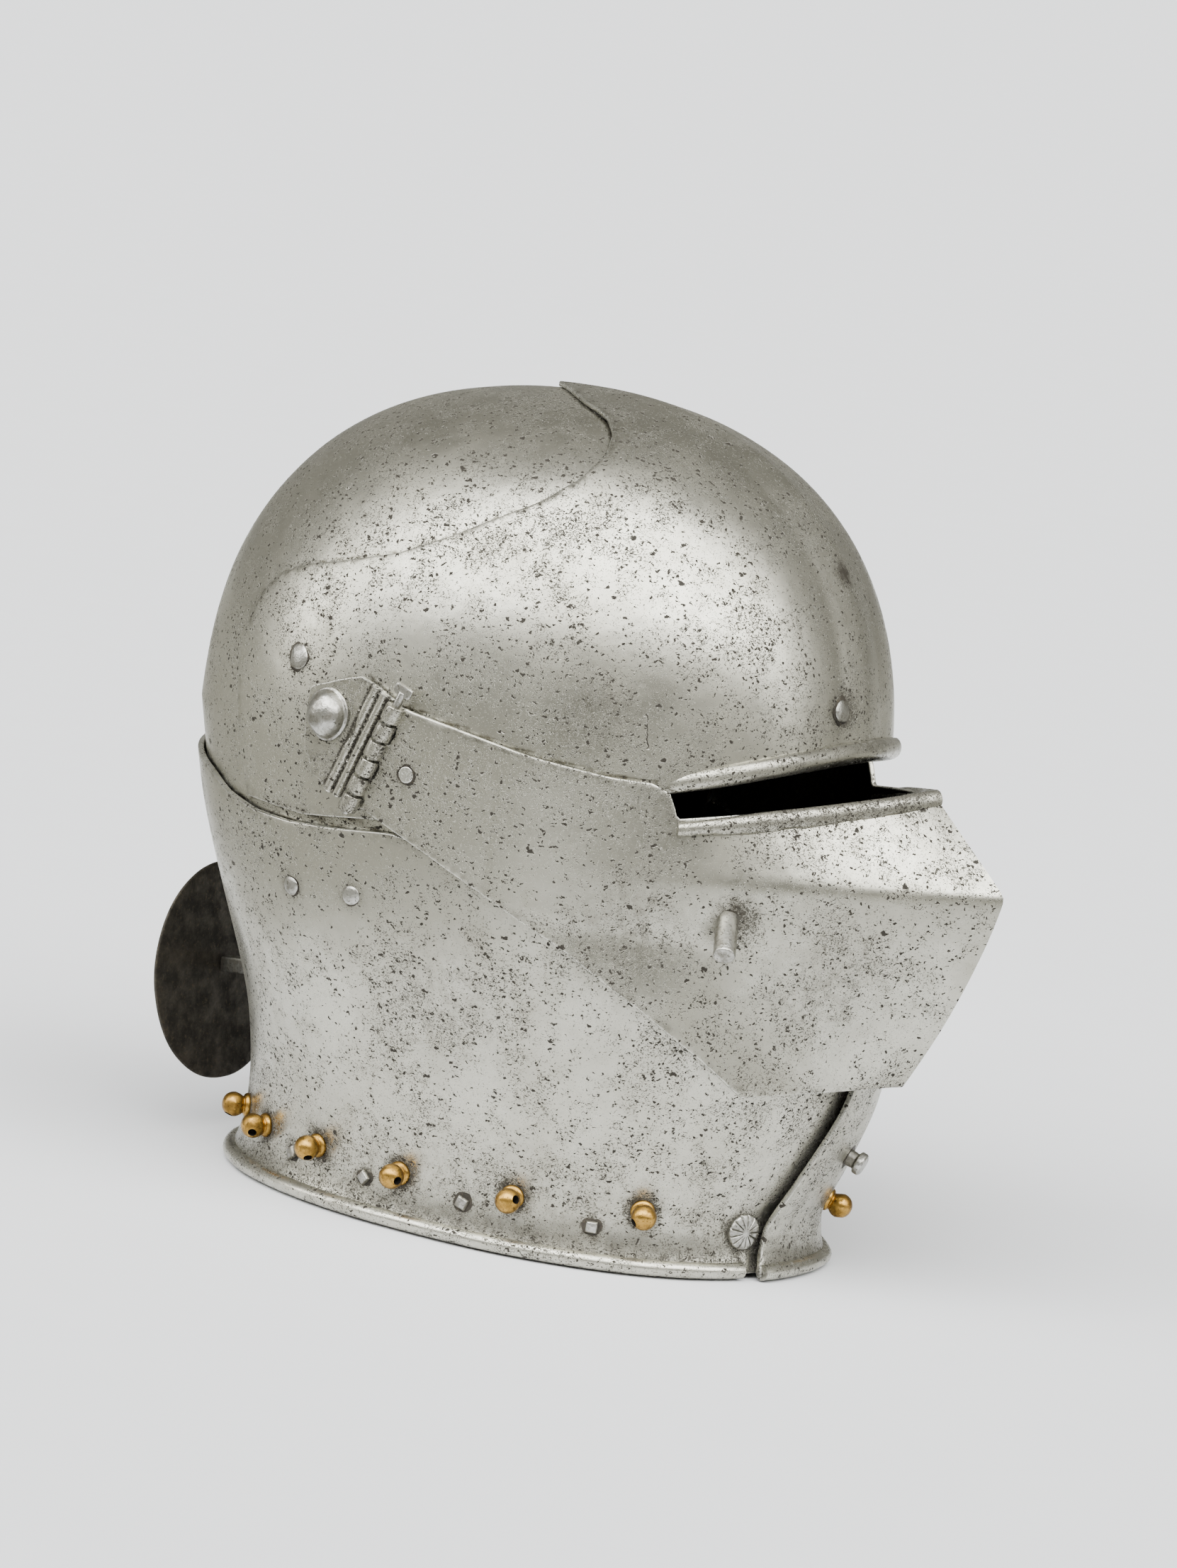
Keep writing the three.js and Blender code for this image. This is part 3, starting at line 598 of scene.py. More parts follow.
def roughMetal(name, look):
    # Small forged pieces and the plates' insides: the same steel, hammered and filed but never planished.
    material, tree, shader, mm = newMaterial(name)
    patch = noise(tree, mm, 1 / look["patch"], 5.0, 0.65)
    patch = ramp(tree, patch, look["from"], look["to"])
    grain = noise(tree, mm, 1 / look["grain"], 3.0)
    fleck = ramp(tree, grain, 0.58, 0.7, 0.0, look["fleck"])
    tint = blend(tree, patch, colour(look["light"]), colour(look["dark"]))
    tint = blend(tree, fleck, tint, colour(look["flecks"]))
    tree.links.new(tint, shader.inputs["Base Color"])
    rough = ramp(tree, patch, 0.0, 1.0, look["smooth"], look["rough"])
    tree.links.new(rough, shader.inputs["Roughness"])
    shader.inputs["Metallic"].default_value = look["metallic"]
    relief = calc(tree, "MULTIPLY_ADD", grain, look["relief"], 0.0)
    bump = addNode(tree, "ShaderNodeBump", {"Strength": 1.0, "Distance": 0.001, "Height": relief}).outputs[0]
    tree.links.new(bump, shader.inputs["Normal"])
    return material


# filed steel: rivet heads, studs and pins keep file marks and dark seams, so they gleam unevenly
filedSteel = roughMetal("filedSteel", {
    "light": "b4b3ad", "dark": "7b786f", "flecks": "3d3830", "patch": 5.0, "from": 0.42, "to": 0.62,
    "grain": 0.8, "fleck": 0.7, "smooth": 0.28, "rough": 0.5, "metallic": 1.0, "relief": 0.12,
})
# plate straight from the hammer: scale and old grease leave the inside nearly black; the same near-black lines the
# vervelles' drilled holes as painted shade
forgeBlackAndHoleShade = roughMetal("forgeBlackAndHoleShade", {
    "light": "3b3833", "dark": "1f1c19", "flecks": "5a5148", "patch": 14.0, "from": 0.35, "to": 0.65,
    "grain": 1.6, "fleck": 0.5, "smooth": 0.5, "rough": 0.75, "metallic": 0.8, "relief": 0.25,
})
# wrought iron with rust worked into it: brown and black mottling that hardly shines; round the feet of rivet heads
# it also stands for painted shadow
rustedIronAndShade = roughMetal("rustedIronAndShade", {
    "light": "454038", "dark": "26231e", "flecks": "5c5242", "patch": 7.0, "from": 0.36, "to": 0.62,
    "grain": 1.1, "fleck": 0.55, "smooth": 0.5, "rough": 0.75, "metallic": 0.6, "relief": 0.22,
})
# turned latten brass, whose ball is rubbed bright and neck brown, drawn as bright and brown patches at random
lattenBrass = roughMetal("lattenBrass", {
    "light": "b08a44", "dark": "775a2a", "flecks": "3a2c17", "patch": 4.0, "from": 0.42, "to": 0.64,
    "grain": 0.9, "fleck": 0.7, "smooth": 0.26, "rough": 0.46, "metallic": 1.0, "relief": 0.06,
})


# making objects
platePoints = {}  # each piece's points, for the seams worked out once all plates are cut
crease = 38  # degrees between faces, above which an edge stays sharp
seamReach = 6  # mm


def makePiece(name, points, faces, materials, body, nodes, insideFace=None, fields=None):
    mesh = bpy.data.meshes.new(name)
    mesh.from_pydata(toRow(points).tolist(), [], faces.tolist())
    for material in materials:
        mesh.materials.append(material)
    if insideFace is not None:
        mesh.polygons.foreach_set("material_index", insideFace.astype(np.int32))
    for field, values in (fields or {}).items():
        made = mesh.attributes.new(field, "FLOAT", "POINT")
        made.data.foreach_set("value", np.asarray(values, np.float32))
    mesh.shade_smooth()
    mesh.set_sharp_from_angle(angle=math.radians(crease))
    mesh.update()
    platePoints[name] = points
    piece = bpy.data.objects.new(name, mesh)
    bpy.context.scene.collection.objects.link(piece)
    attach(piece, body)
    if nodes:
        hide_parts(*nodes)


def addSeam(name, insides):
    # 1 along the edge of the plates that lie over this one, falling to 0 on both sides of it; the steel paints it as
    # a dark line, the shadow of the gap under those edges
    points = platePoints[name]
    away = np.min([np.abs(inside(points)) for inside in insides], axis=0)
    made = bpy.data.objects[name].data.attributes.new("seam", "FLOAT", "POINT")
    made.data.foreach_set("value", np.asarray(clamp01(1 - away / seamReach), np.float32))


sides = ((-1, "right"), (1, "left"))
rustSpots = []  # where rust and dull patches stain the plates: point, reach in mm, strength


def stainField(points):
    total = 0.3 * ease((50 - points[:, 2]) / 40) + 0.3 * ease((12 - points[:, 2]) / 6)  # towards the rim
    for at, reach, strength in rustSpots:
        d = np.linalg.norm(points - at, axis=1)
        total = np.maximum(total, strength * ease(1 - d / reach))
    return total


def plateFields(points, keep):
    edge = np.clip(keep(points), 0, 12)
    return {"edge": edge, "stain": stainField(points)}


def formPlate(keep, layers, us, vs, extra=None, wave=0.0, seed=1):
    # a plate of the head form, cut to where keep is positive and given its two skins
    def extraAt(turn, rise):
        return extra(formPoint(turn, heightAt(rise))) if extra else 0.0

    def skin(turn, rise, out):
        bare = formPoint(turn, heightAt(rise))
        ripple = wave * (latticeNoise(bare, 34, seed) + 0.4 * latticeNoise(bare, 15, seed + 5))
        return offsetPoint(turn, rise, out + extraAt(turn, rise) + ripple)

    uv, tris = cutSheet(lambda u, v: offsetPoint(u, v, layers[1] + extraAt(u, v)), keep, us, vs)
    outer, inner = skin(uv[:, 0], uv[:, 1], layers[1]), skin(uv[:, 0], uv[:, 1], layers[0])
    return plateMesh(outer, inner, tris)


def withParts(plate, fields, added, edge, stain):
    # a plate with rolls or knuckles added, each outside metal all over with one value of edge and stain
    points, faces, insideFace = plate
    more = sum(len(p) for p, f in added)
    fields = {"edge": np.concatenate([fields["edge"], np.full(more, edge)]),
              "stain": np.concatenate([fields["stain"], np.full(more, stain)])}
    insideFace = np.concatenate([insideFace, np.zeros(sum(len(f) for p, f in added), bool)])
    return *joinMeshes([(points, faces), *added]), insideFace, fields


# where things sit: y, z on the side of the helmet and mm off the form
places = {
    "templeRivet": (7, 175, 2.1),
    "cheekRivetRear": (0, 104, 2.8),
    "cheekRivetFront": (-24, 106, 2.8),
    "visorRivet": (-41, 148, 5.6),
    "stud": (*pivot, 2.1),
    "browRivet": (-143, 181, 2.1),
    "rosette": (-138, 14.5, 2.8),
}
rimOut = 2.8  # mm off the form for everything set along the rim
pegSpot = (-138, 119)
vervelleSpots = [(33, 19), (18, 17.5), (-8, 18.5), (-41, 17.5), (-80, 18.5), (-117, 20.5)]
rimRivetSpots = [(3, 12.5), (-28, 12.5), (-64, 12.5), (-104, 12.5)]
for side, word in sides:
    for name, reach, strength in (("templeRivet", 7.0, 1.1), ("cheekRivetRear", 7.0, 1.1),
                                  ("cheekRivetFront", 7.0, 1.1), ("visorRivet", 8.0, 0.8), ("stud", 14.0, 1.1)):
        rustSpots.append((seat(side, *places[name])[0], reach, strength))
    for y, z in vervelleSpots:
        rustSpots.append((seat(side, y, z, rimOut)[0], 10.5, 1.7))
    for y, z in rimRivetSpots:
        rustSpots.append((seat(side, y, z, rimOut)[0], 7.0, 1.3))
rustSpots.append((seat(-1, *places["browRivet"])[0], 10.0, 1.3))
rustSpots.append((np.array([-55.0, *pegSpot]), 12.0, 1.5))
for y, z, reach, strength in ((-110, 112, 34, 0.5), (-165, 100, 30, 0.45), (-60, 78, 38, 0.35), (-20, 150, 26, 0.35),
                              (-95, 176, 24, 0.5), (-62, 224, 30, 0.3), (-118, 150, 22, 0.45)):  # duller patches
    rustSpots.append((seat(-1, y, z, 4)[0] if y > -140 else np.array([-34.0, y, z]), reach, strength))
rustSpots.append((seat(-1, *places["rosette"])[0], 13.0, 1.5))

fullTurn = np.linspace(-math.pi, math.pi, 301)

# skull
skull = {
    "side": [(-175, 171), (-148, 171), (-118, 158), (-90, 151), (-62, 144), (-52, 134), (-47, 106), (-30, 103),
             (25, 101), (60, 97), (110, 97), (110, 280), (-175, 280)],
    "tail": [(-22, 100), (-24, 120), (24, 120), (22, 100), (21, 6), (-21, 6)],
}


def keepSkull(p):
    bowl = outlineDistance(p[:, 1:], skull["side"])
    tail = np.minimum(outlineDistance(p[:, [0, 2]], skull["tail"]), p[:, 1] - 20)
    return np.maximum(bowl, tail)


skullSteel = hammeredSteel("skullSteel", seed=11.0)
points, faces, insideFace = formPlate(keepSkull, plates["skull"], fullTurn, np.linspace(0.04, 2, 160), wave=0.1,
                                      seed=3)
makePiece("skullPlate", points, faces, [skullSteel, forgeBlackAndHoleShade], "helmet", ["skull"],
          insideFace=insideFace, fields=plateFields(points, keepSkull))
print("skull done", len(faces))

# brow reinforce
brow = {
    "top": [(0, -23), (-20, -44), (-28, -57), (-36, -64), (-46, -68), (-57, -66), (-70, -57), (-110, -30),
            (-110, -190), (110, -190), (110, -30), (70, -57), (57, -66), (46, -68), (36, -64), (28, -57), (20, -44)],
    "side": [(-57, 235), (-49, 229), (-36, 221), (-20, 213), (0, 207), (14, 203.5), (24, 199), (31, 192), (35, 181),
             (36, 170), (33, 155), (28, 136), (24, 127.5), (-2, 127), (-30, 131), (-64, 137.5), (-90, 145),
             (-110, 151.5), (-122, 156), (-134, 160), (-150, 165), (-175, 168), (-175, 250), (-66, 250), (-64, 242)],
    "rollEdge": [-110, -115, -120, -125, -130, -135.5, -141],
}


def keepBrow(p):
    low = outlineDistance(p[:, 1:], brow["side"])
    high = outlineDistance(p[:, :2], brow["top"])
    return mix(low, high, ease((p[:, 2] - 230) / 9))


def smoothPath(rows, count):
    # Rows of numbers joined by an even smooth curve.
    rows = np.asarray(rows, float)
    t = np.linspace(0, len(rows) - 1, count)
    i = np.clip(t.astype(int), 0, len(rows) - 2)
    f = (t - i)[:, None]
    a, b = rows[np.maximum(i - 1, 0)], rows[i]
    c, d = rows[i + 1], rows[np.minimum(i + 2, len(rows) - 1)]
    return 0.5 * (2 * b + (c - a) * f + (2 * a - 5 * b + 4 * c - d) * f ** 2 + (3 * b - a - 3 * c + d) * f ** 3)


def rollMesh(path, sides=20, lip=0.0, seed=1, wobble=0.1):
    # A rolled edge; path rows are at(3), out(3), wide, high. lip leaves the turned sheet's ragged end.
    at, out, wide, high = path[:, :3], unit(path[:, 3:6]), path[:, 6], path[:, 7]
    up = np.array([0.0, 0.0, 1.0])
    rings = []
    for k in range(sides):
        a = (k + 0.5) / sides * 2 * math.pi
        grow = 1.03 + np.zeros(len(at))
        if lip:
            end = -0.9 + 0.35 * latticeNoise(at, 5, seed) + 0.2 * latticeNoise(at, 1.9, seed + 3)
            angle = (a + math.pi) % (2 * math.pi) - math.pi
            grow = grow + lip * ease((angle - end) / 0.18) * ease((2.2 - angle) / 0.9)
        ring = at + out * (math.cos(a) * wide * grow)[:, None] + up * (math.sin(a) * high * grow)[:, None]
        rings.append(ring + out * (wobble * latticeNoise(ring, 9, seed))[:, None])
    return ringsMesh(np.stack(rings, 1))


def mirroredPath(path):
    other = path[:-1][::-1].copy()
    other[:, [0, 3]] *= -1
    return np.concatenate([path, other])


def browRoll():
    rows = []
    for k, y in enumerate(brow["rollEdge"]):
        grow = float(ease(k / 4.2))
        at, direction = seat(-1, y, 154 - (y + 110) * 0.385, mix(0.5, 2.2, grow))
        out = unit(direction * [1, 1, 0])
        rows.append([*at, *out, mix(1.0, 2.3, grow), mix(2.4, 3.3, grow)])
    rows.append([*offsetPoint(0.0, riseOf(168.3), 1.9), 0, -1, 0, 2.6, 3.3])
    return smoothPath(mirroredPath(np.array(rows)), 130)


crackTop = seat(-1, -107, 177, 2.1)[0]
crackFoot = seat(-1, -109, 167, 2.1)[0]
browSteel = hammeredSteel("browSteel", seed=4.0, cracks=[(crackTop, crackFoot, 0.55)])
rustSpots.append((seat(-1, -131, 220, 2.1)[0], 7.0, 1.9))  # the dark stain high on the brow
plate = formPlate(keepBrow, plates["brow"], fullTurn, np.linspace(0.8, 2, 110), wave=0.12, seed=8)
points, faces, insideFace, fields = withParts(plate, plateFields(plate[0], keepBrow),
                                              [rollMesh(browRoll(), lip=0.05, seed=4)], 2.5, 0.1)
makePiece("browReinforce", points, faces, [browSteel, forgeBlackAndHoleShade], "helmet", ["brow_reinforce"],
          insideFace=insideFace, fields=fields)
print("brow done", len(faces))

# cheek plates
cheek = {
    "side": [(-190, -1), (120, -1), (120, 140), (66, 134), (47, 130.5), (36, 126.5), (20, 124), (4, 123.8),
             (-14, 125.3), (-36, 128), (-52, 126), (-80, 117), (-106, 102), (-130, 84), (-148, 71), (-190, 69)],
    "lapEdge": [(-4, 80), (-6, 64), (-12, 46), (-16, 31), (-18, 20), (-21, 10), (-25, -1)],
    "hiddenShift": 11.0,
    "rearEdge": 15.0,
    "rimHeight": 2.6,
}


def lapOut(p):
    return np.where(p[..., 1] < -90, plates["chinLap"] * ease((36 - p[..., 0]) / 22), 0.0)


def keepCheek(side):
    lap = np.array(cheek["lapEdge"][::-1], float)

    def keep(p):
        body = np.minimum(outlineDistance(p[:, 1:], cheek["side"]), p[:, 2] - 1.6)
        lapX = np.interp(p[:, 2], lap[:, 1], lap[:, 0])
        front = (lapX + cheek["hiddenShift"] - p[:, 0]) if side < 0 else (p[:, 0] - lapX)
        rear = side * p[:, 0] - cheek["rearEdge"]
        return np.minimum(body, np.where(p[:, 1] < -41, front * 0.96, rear))
    return keep


def rimRoll(side):
    back, front = turnAt(49, 2) * -side, (0.34 if side < 0 else 0.27)
    turn = np.linspace(back, front, 190)
    near = formPoint(turn, np.full(turn.shape, 2.0))
    extra = lapOut(near) if side > 0 else 0.0
    at = offsetPoint(turn, riseOf(2.0) + 0 * turn, 2.9 + extra)
    at[:, 2] = cheek["rimHeight"]
    out = unit(formNormal(turn, riseOf(2.0) + 0 * turn) * [1, 1, 0])
    size = np.full((len(turn), 1), 2.5)
    return np.concatenate([at, out, size, size], 1)


for side, word in sides:
    cheekSteel = hammeredSteel("cheekSteel" + word.capitalize(), seed=27.0 + side * 5)
    keep = keepCheek(side)
    plate = formPlate(keep, plates["cheek"], fullTurn, np.linspace(0, 1, 84), extra=lapOut if side > 0 else None,
                      wave=0.16, seed=14 + side)
    rim = rollMesh(rimRoll(side), lip=0.04, seed=9 + side, wobble=0.12)
    points, faces, insideFace, fields = withParts(plate, plateFields(plate[0], keep), [rim], 3.0, 0.08)
    makePiece("cheekPlate_" + word, points, faces, [cheekSteel, forgeBlackAndHoleShade], "helmet",
              ["cheek_plate_" + word], insideFace=insideFace, fields=fields)
    print("cheek plate", word, "done", len(faces))

# visor
visor = {
    "beakZ": 132.0,
    "beakY": -202.45,
    "side": [(-36.5, 168.2), (-40, 167.3), (-55, 165), (-80, 160.5), (-104, 157.4), (-114, 157), (-118.5, 154.5),
             (-120.5, 150), (-121.5, 147), (-175, 158.5), (-215, 166), (-215, 66), (-176, 66), (-146.5, 62),
             (-137, 72), (-119, 87), (-97, 102), (-73, 114), (-49, 125), (-27, 134), (-23.6, 133.6)],
    "hingeTop": (-35.4, 168.6),
    "hingeEnd": (-22.0, 132.8),
    "knuckle": 3.1,  # radius
    "pin": 1.3,
}


def keelY(z):
    drop = visor["beakZ"] - z
    soft = 1.2  # the beak's tip is rounded by this much
    below = 0.5 * (drop + np.sqrt(drop * drop + soft * soft)) - soft * 0.5
    above = 0.5 * (-drop + np.sqrt(drop * drop + soft * soft)) - soft * 0.5
    return visor["beakY"] + 0.235 * below + 0.0025 * below ** 2 + 1.06 * above


def visorPoint(u, z):
    # u runs from the keel (0) to behind the hinge (1 on the right, -1 on the left).
    u, z = np.broadcast_arrays(np.asarray(u, float), np.asarray(z, float))
    s = np.abs(u)
    rearZ = z - 6 * clamp01(1 - np.abs(z - visor["beakZ"]) / 50)
    rearY = -70 - 1.15 * np.maximum(0, 110 - z)
    low = clamp01((116 - z) / 50)
    reach = plates["visorOut"] + 2 * np.minimum(1, 2 * low)
    rear = seat(-1, rearY, rearZ, reach)[0]
    keel = np.stack([np.zeros(z.shape), keelY(z), z], -1)
    corner = np.stack([mix(-87.5, -55, low), mix(-119, -150, low), mix(z, rearZ, 0.7)], -1)
    t = clamp01(s * 1.5)[..., None]
    p = (1 - t) ** 2 * keel + 2 * t * (1 - t) * corner + t * t * rear
    behind = s > 2 / 3
    y = mix(rearY, -14.0, clamp01((s - 2 / 3) * 3))
    full = seat(-1, np.where(behind, y, p[..., 1]), np.where(behind, rearZ, p[..., 2]), reach)[0]
    soft = 1.2
    gap = p[..., 0] - full[..., 0]
    held = full[..., 0] + 0.5 * (gap - np.sqrt(gap * gap + soft * soft)) + soft * 0.2
    share = ease((p[..., 1] + 154) / 8)
    p[..., 0] = np.where(behind, full[..., 0], mix(p[..., 0], np.minimum(held, p[..., 0]), share))
    p[..., 1] = np.where(behind, full[..., 1], p[..., 1])
    p[..., 2] = np.where(behind, full[..., 2], p[..., 2])
    p[..., 0] = np.where(u < 0, -p[..., 0], p[..., 0])
    return p


def hingeLine(side):
    middleY = (visor["hingeTop"][0] + visor["hingeEnd"][0]) / 2
    middleZ = (visor["hingeTop"][1] + visor["hingeEnd"][1]) / 2
    x = seat(side, middleY, middleZ, 6.2)[0][0]
    return np.array([x, *visor["hingeTop"]]), np.array([x, *visor["hingeEnd"]])


def knuckleGap(p, which, room=0.45):
    # Distance outside the room that the other leaf's knuckles need, measured in side view.
    top, end = np.array(visor["hingeTop"]), np.array(visor["hingeEnd"])
    length = np.linalg.norm(end - top)
    along = (end - top) / length
    rel = p[:, 1:] - top
    s, d = rel @ along, rel @ np.array([-along[1], along[0]])
    best = np.full(len(p), 1e9)
    for k in which:
        qx = np.abs(s - (k + 0.5) / 6 * length) - (length / 12 - 0.1)
        qy = np.abs(d) - (visor["knuckle"] + room)
        box = np.hypot(np.maximum(qx, 0), np.maximum(qy, 0)) + np.minimum(np.maximum(qx, qy), 0)
        best = np.minimum(best, box)
    return best


def keepVisor(p):
    return np.minimum(outlineDistance(p[:, 1:], visor["side"]), knuckleGap(p, (1, 3, 5)))


def knuckleMesh(side, k, seed=0):
    # One barrel of the hinge, its seam where the leaf wraps round and its ends a little worn.
    top, end = hingeLine(side)
    along = unit(end - top)
    length = np.linalg.norm(end - top)
    a, b = length * (k / 6 + 0.012), length * ((k + 1) / 6 - 0.012)
    r = visor["knuckle"]
    profile = fillet([(1.6, 0), (r - 0.05, 0), (r, (b - a) * 0.5), (r - 0.05, b - a), (1.6, b - a)], 0.5, 4)
    rings = turnedRings(profile, 36)
    angle = np.arctan2(rings[..., 1], rings[..., 0])
    seam = 1 - 0.05 * np.exp(-(((angle - 1.9) / 0.09) ** 2))
    rings[..., :2] *= seam[..., None]
    pts, tris = ringsMesh(rings)
    pts = placed(pts, top + along * a, along)
    return pts + unit(pts) * (0.1 * latticeNoise(pts, 4, 31 + k + seed))[:, None], tris


def sightRoll():
    share = np.linspace(0, 1, 70)
    z = mix(146.3, 157.6, share)
    wantedY = mix(-122.0, keelY(z), share)
    lo, hi = np.zeros(len(z)), np.ones(len(z))
    for _ in range(30):
        mid = (lo + hi) / 2
        ahead = visorPoint(mid, z)[:, 1] < wantedY
        lo, hi = np.where(ahead, mid, lo), np.where(ahead, hi, mid)
    at = visorPoint((lo + hi) / 2, z)
    out = unit(mix(np.array([-0.75, -0.66, 0.0]), np.array([0.0, -1.0, 0.0]), ease((share - 0.8) / 0.2)[:, None]))
    size = mix(2.0, 3.0, ease(share * 3))
    at = at + out * mix(-0.3, -1.6, share ** 3)[:, None]
    path = np.concatenate([at, out, (size * 0.8)[:, None], size[:, None]], 1)
    return mirroredPath(path)


visorSteel = hammeredSteel("visorSteel", seed=52.0)
us = np.linspace(-1, 1, 253)
vs = np.concatenate([np.linspace(56, 132, 44), np.linspace(132, 172, 25)[1:]])
uv, tris = cutSheet(visorPoint, keepVisor, us, vs, spacing=2.2, closed=False)
outer = visorPoint(uv[:, 0], uv[:, 1])
du, dz = 0.006, 0.8
across = visorPoint(uv[:, 0] + du, uv[:, 1]) - visorPoint(uv[:, 0] - du, uv[:, 1])
upward = visorPoint(uv[:, 0], uv[:, 1] + dz) - visorPoint(uv[:, 0], uv[:, 1] - dz)
normal = unit(np.cross(upward, across))
if (normal * (outer - [0, -60, 130])).sum() < 0:
    normal = -normal
ripple = 0.14 * (latticeNoise(outer, 30, 41) + 0.4 * latticeNoise(outer, 13, 43))
outer = outer + normal * ripple[:, None]
plate = plateMesh(outer, outer - normal * plates["visorThick"], tris)
added = [rollMesh(sightRoll(), lip=0.16, seed=21, wobble=0.16)]
added += [knuckleMesh(side, k, seed=side) for side, word in sides for k in (0, 2, 4)]
points, faces, insideFace, fields = withParts(plate, plateFields(plate[0], keepVisor), added, 3.0, 0.45)
makePiece("visorPlate", points, faces, [visorSteel, forgeBlackAndHoleShade], "visor", ["visor"],
          insideFace=insideFace, fields=fields)
print("visor done", len(faces))

# pivot arms, pins and studs
arm = {
    "outline": [(-7, 142), (-14, 137.4), (-22.4, 134.8), (-34.8, 168.4), (-26, 172.8), (-20.5, 175), (-2.8, 168.5),
                (-2, 158), (-3.5, 150)],
    "inner": 95.6,
    "thick": 1.8,
    "bore": 3.6,
    "flutes": (6.1, 9.6),  # mm behind the hinge line
    "lines": (4.3, 7.85, 11.5),  # the grooves between and beside the flutes
}


def inVisor(p):
    return outlineDistance(p[:, 1:], visor["side"])


def inCheek(p):
    return outlineDistance(p[:, 1:], cheek["side"])


addSeam("skullPlate", [keepBrow, inCheek])
addSeam("browReinforce", [inVisor, lambda p: outlineDistance(p[:, 1:], arm["outline"])])
addSeam("cheekPlate_right", [inVisor])
addSeam("cheekPlate_left", [inVisor])


def keepArm(p):
    body = outlineDistance(p[:, 1:], arm["outline"])
    body = body + 0.35 * latticeNoise(p, 4.5, 77)  # the hand-cut edge
    hole = np.hypot(p[:, 1] - pivot[0], p[:, 2] - pivot[1]) - arm["bore"]
    return np.minimum(np.minimum(body, hole), knuckleGap(p, (0, 2, 4)))


armSteel = hammeredSteel("armSteel", seed=71.0, look={**plateSteel, "clusterSize": 9.0, "bigPit": 3.0})
gridY, gridZ = np.linspace(-38, 2, 62), np.linspace(132, 178, 72)
for side, word in sides:
    top, end = hingeLine(side)
    along = unit(end - top)

    def armPoint(y, z):
        return np.stack([np.full(y.shape, side * (arm["inner"] + arm["thick"])), y, z], -1)

    uv, tris = cutSheet(armPoint, keepArm, gridY, gridZ, spacing=0.7, closed=False)
    outer = armPoint(uv[:, 0], uv[:, 1])
    inner = outer - [side * arm["thick"], 0, 0]
    rel = outer[:, 1:] - top[1:]
    behind = np.abs(rel @ np.array([-along[2], along[1]]))
    clearOfStud = ease((np.hypot(outer[:, 1] - pivot[0], outer[:, 2] - pivot[1]) - 9.6) / 1.2)
    for at in arm["flutes"]:  # rounded ridges beside the hinge
        outer[:, 0] += side * 1.35 * clearOfStud * np.sqrt(clamp01(1 - ((behind - at) / 1.7) ** 2))
    for line in arm["lines"]:
        outer[:, 0] -= side * 0.4 * np.exp(-(((behind - line) / 0.45) ** 2))
    outer[:, 0] += side * 0.12 * latticeNoise(outer, 5, 61)
    plate = plateMesh(outer, inner, tris, 0.3)
    points = plate[0]
    behind = np.abs((points[:, 1:] - top[1:]) @ np.array([-along[2], along[1]]))
    groove = sum(1.5 * np.exp(-(((behind - line) / 0.42) ** 2)) for line in arm["lines"])
    fields = {"edge": np.clip(keepArm(points), 0, 4), "stain": 0.25 + groove}
    added = [knuckleMesh(side, k, seed=3 + side) for k in (1, 3, 5)]
    points, faces, insideFace, fields = withParts(plate, fields, added, 3.0, 0.45)
    makePiece("pivotArm_" + word, points, faces, [armSteel], "visor", ["pivot_arm_" + word], fields=fields)

    # the pin and its flattened head
    shank = turnedRings(fillet([(0.01, 0), (visor["pin"], 0), (visor["pin"], 43.5), (0.01, 43.5)], 0.3), 18)
    shank = ringsMesh(shank)
    shank = (placed(shank[0], top - along * 4.5, along), shank[1])
    angle = np.linspace(0, 2 * math.pi, 28, endpoint=False)
    square = np.stack([np.sign(np.cos(angle)) * np.abs(np.cos(angle)) ** 0.4 * 0.8,
                       np.sign(np.sin(angle)) * np.abs(np.sin(angle)) ** 0.4 * 3.3], 1)
    rings = [np.stack([square[:, 0] * g, square[:, 1] * g, np.full(28, h)], 1)
             for g, h in ((0.8, -1.7), (0.95, -1.45), (1.0, -1.0), (0.98, 0.3), (0.93, 1.2), (0.75, 1.65))]
    tab = ringsMesh(np.array(rings))
    tab = (placed(tab[0], top - along * 5, along), tab[1])
    points, faces = joinMeshes([shank, tab])
    makePiece("hingePin_" + word, points, faces, [filedSteel], "visor", ["hinge_pin_" + word])

    # the hammered dome the visor turns on
    at = seat(side, *places["stud"])[0]
    dome = fillet([(0.01, 0.3), (3.1, 0.3), (3.1, 3.8), (8.3, 3.8), (8.3, 4.7), (7.4, 5.1), (6.9, 6.6), (5.9, 8.3),
                   (4.2, 9.7), (2.1, 10.4), (0.01, 10.55)], 0.9, 4)
    rings = turnedRings(dome, 64)
    dent = 1 + 0.055 * latticeNoise(rings, 5.5, 90 + side) * ease(rings[..., 2] / 6)
    rings[..., :2] *= dent[..., None]
    rings[..., 2] -= 0.35 * clamp01(latticeNoise(rings, 3.8, 95 + side)) * ease((rings[..., 2] - 5) / 3)
    pts, tris = ringsMesh(rings)
    pts[:, 0] *= 0.9
    makePiece("pivotStud_" + word, placed(pts, at, [side, 0, 0]), tris, [filedSteel], "helmet",
              ["pivot_stud_" + word])
print("hinges done")


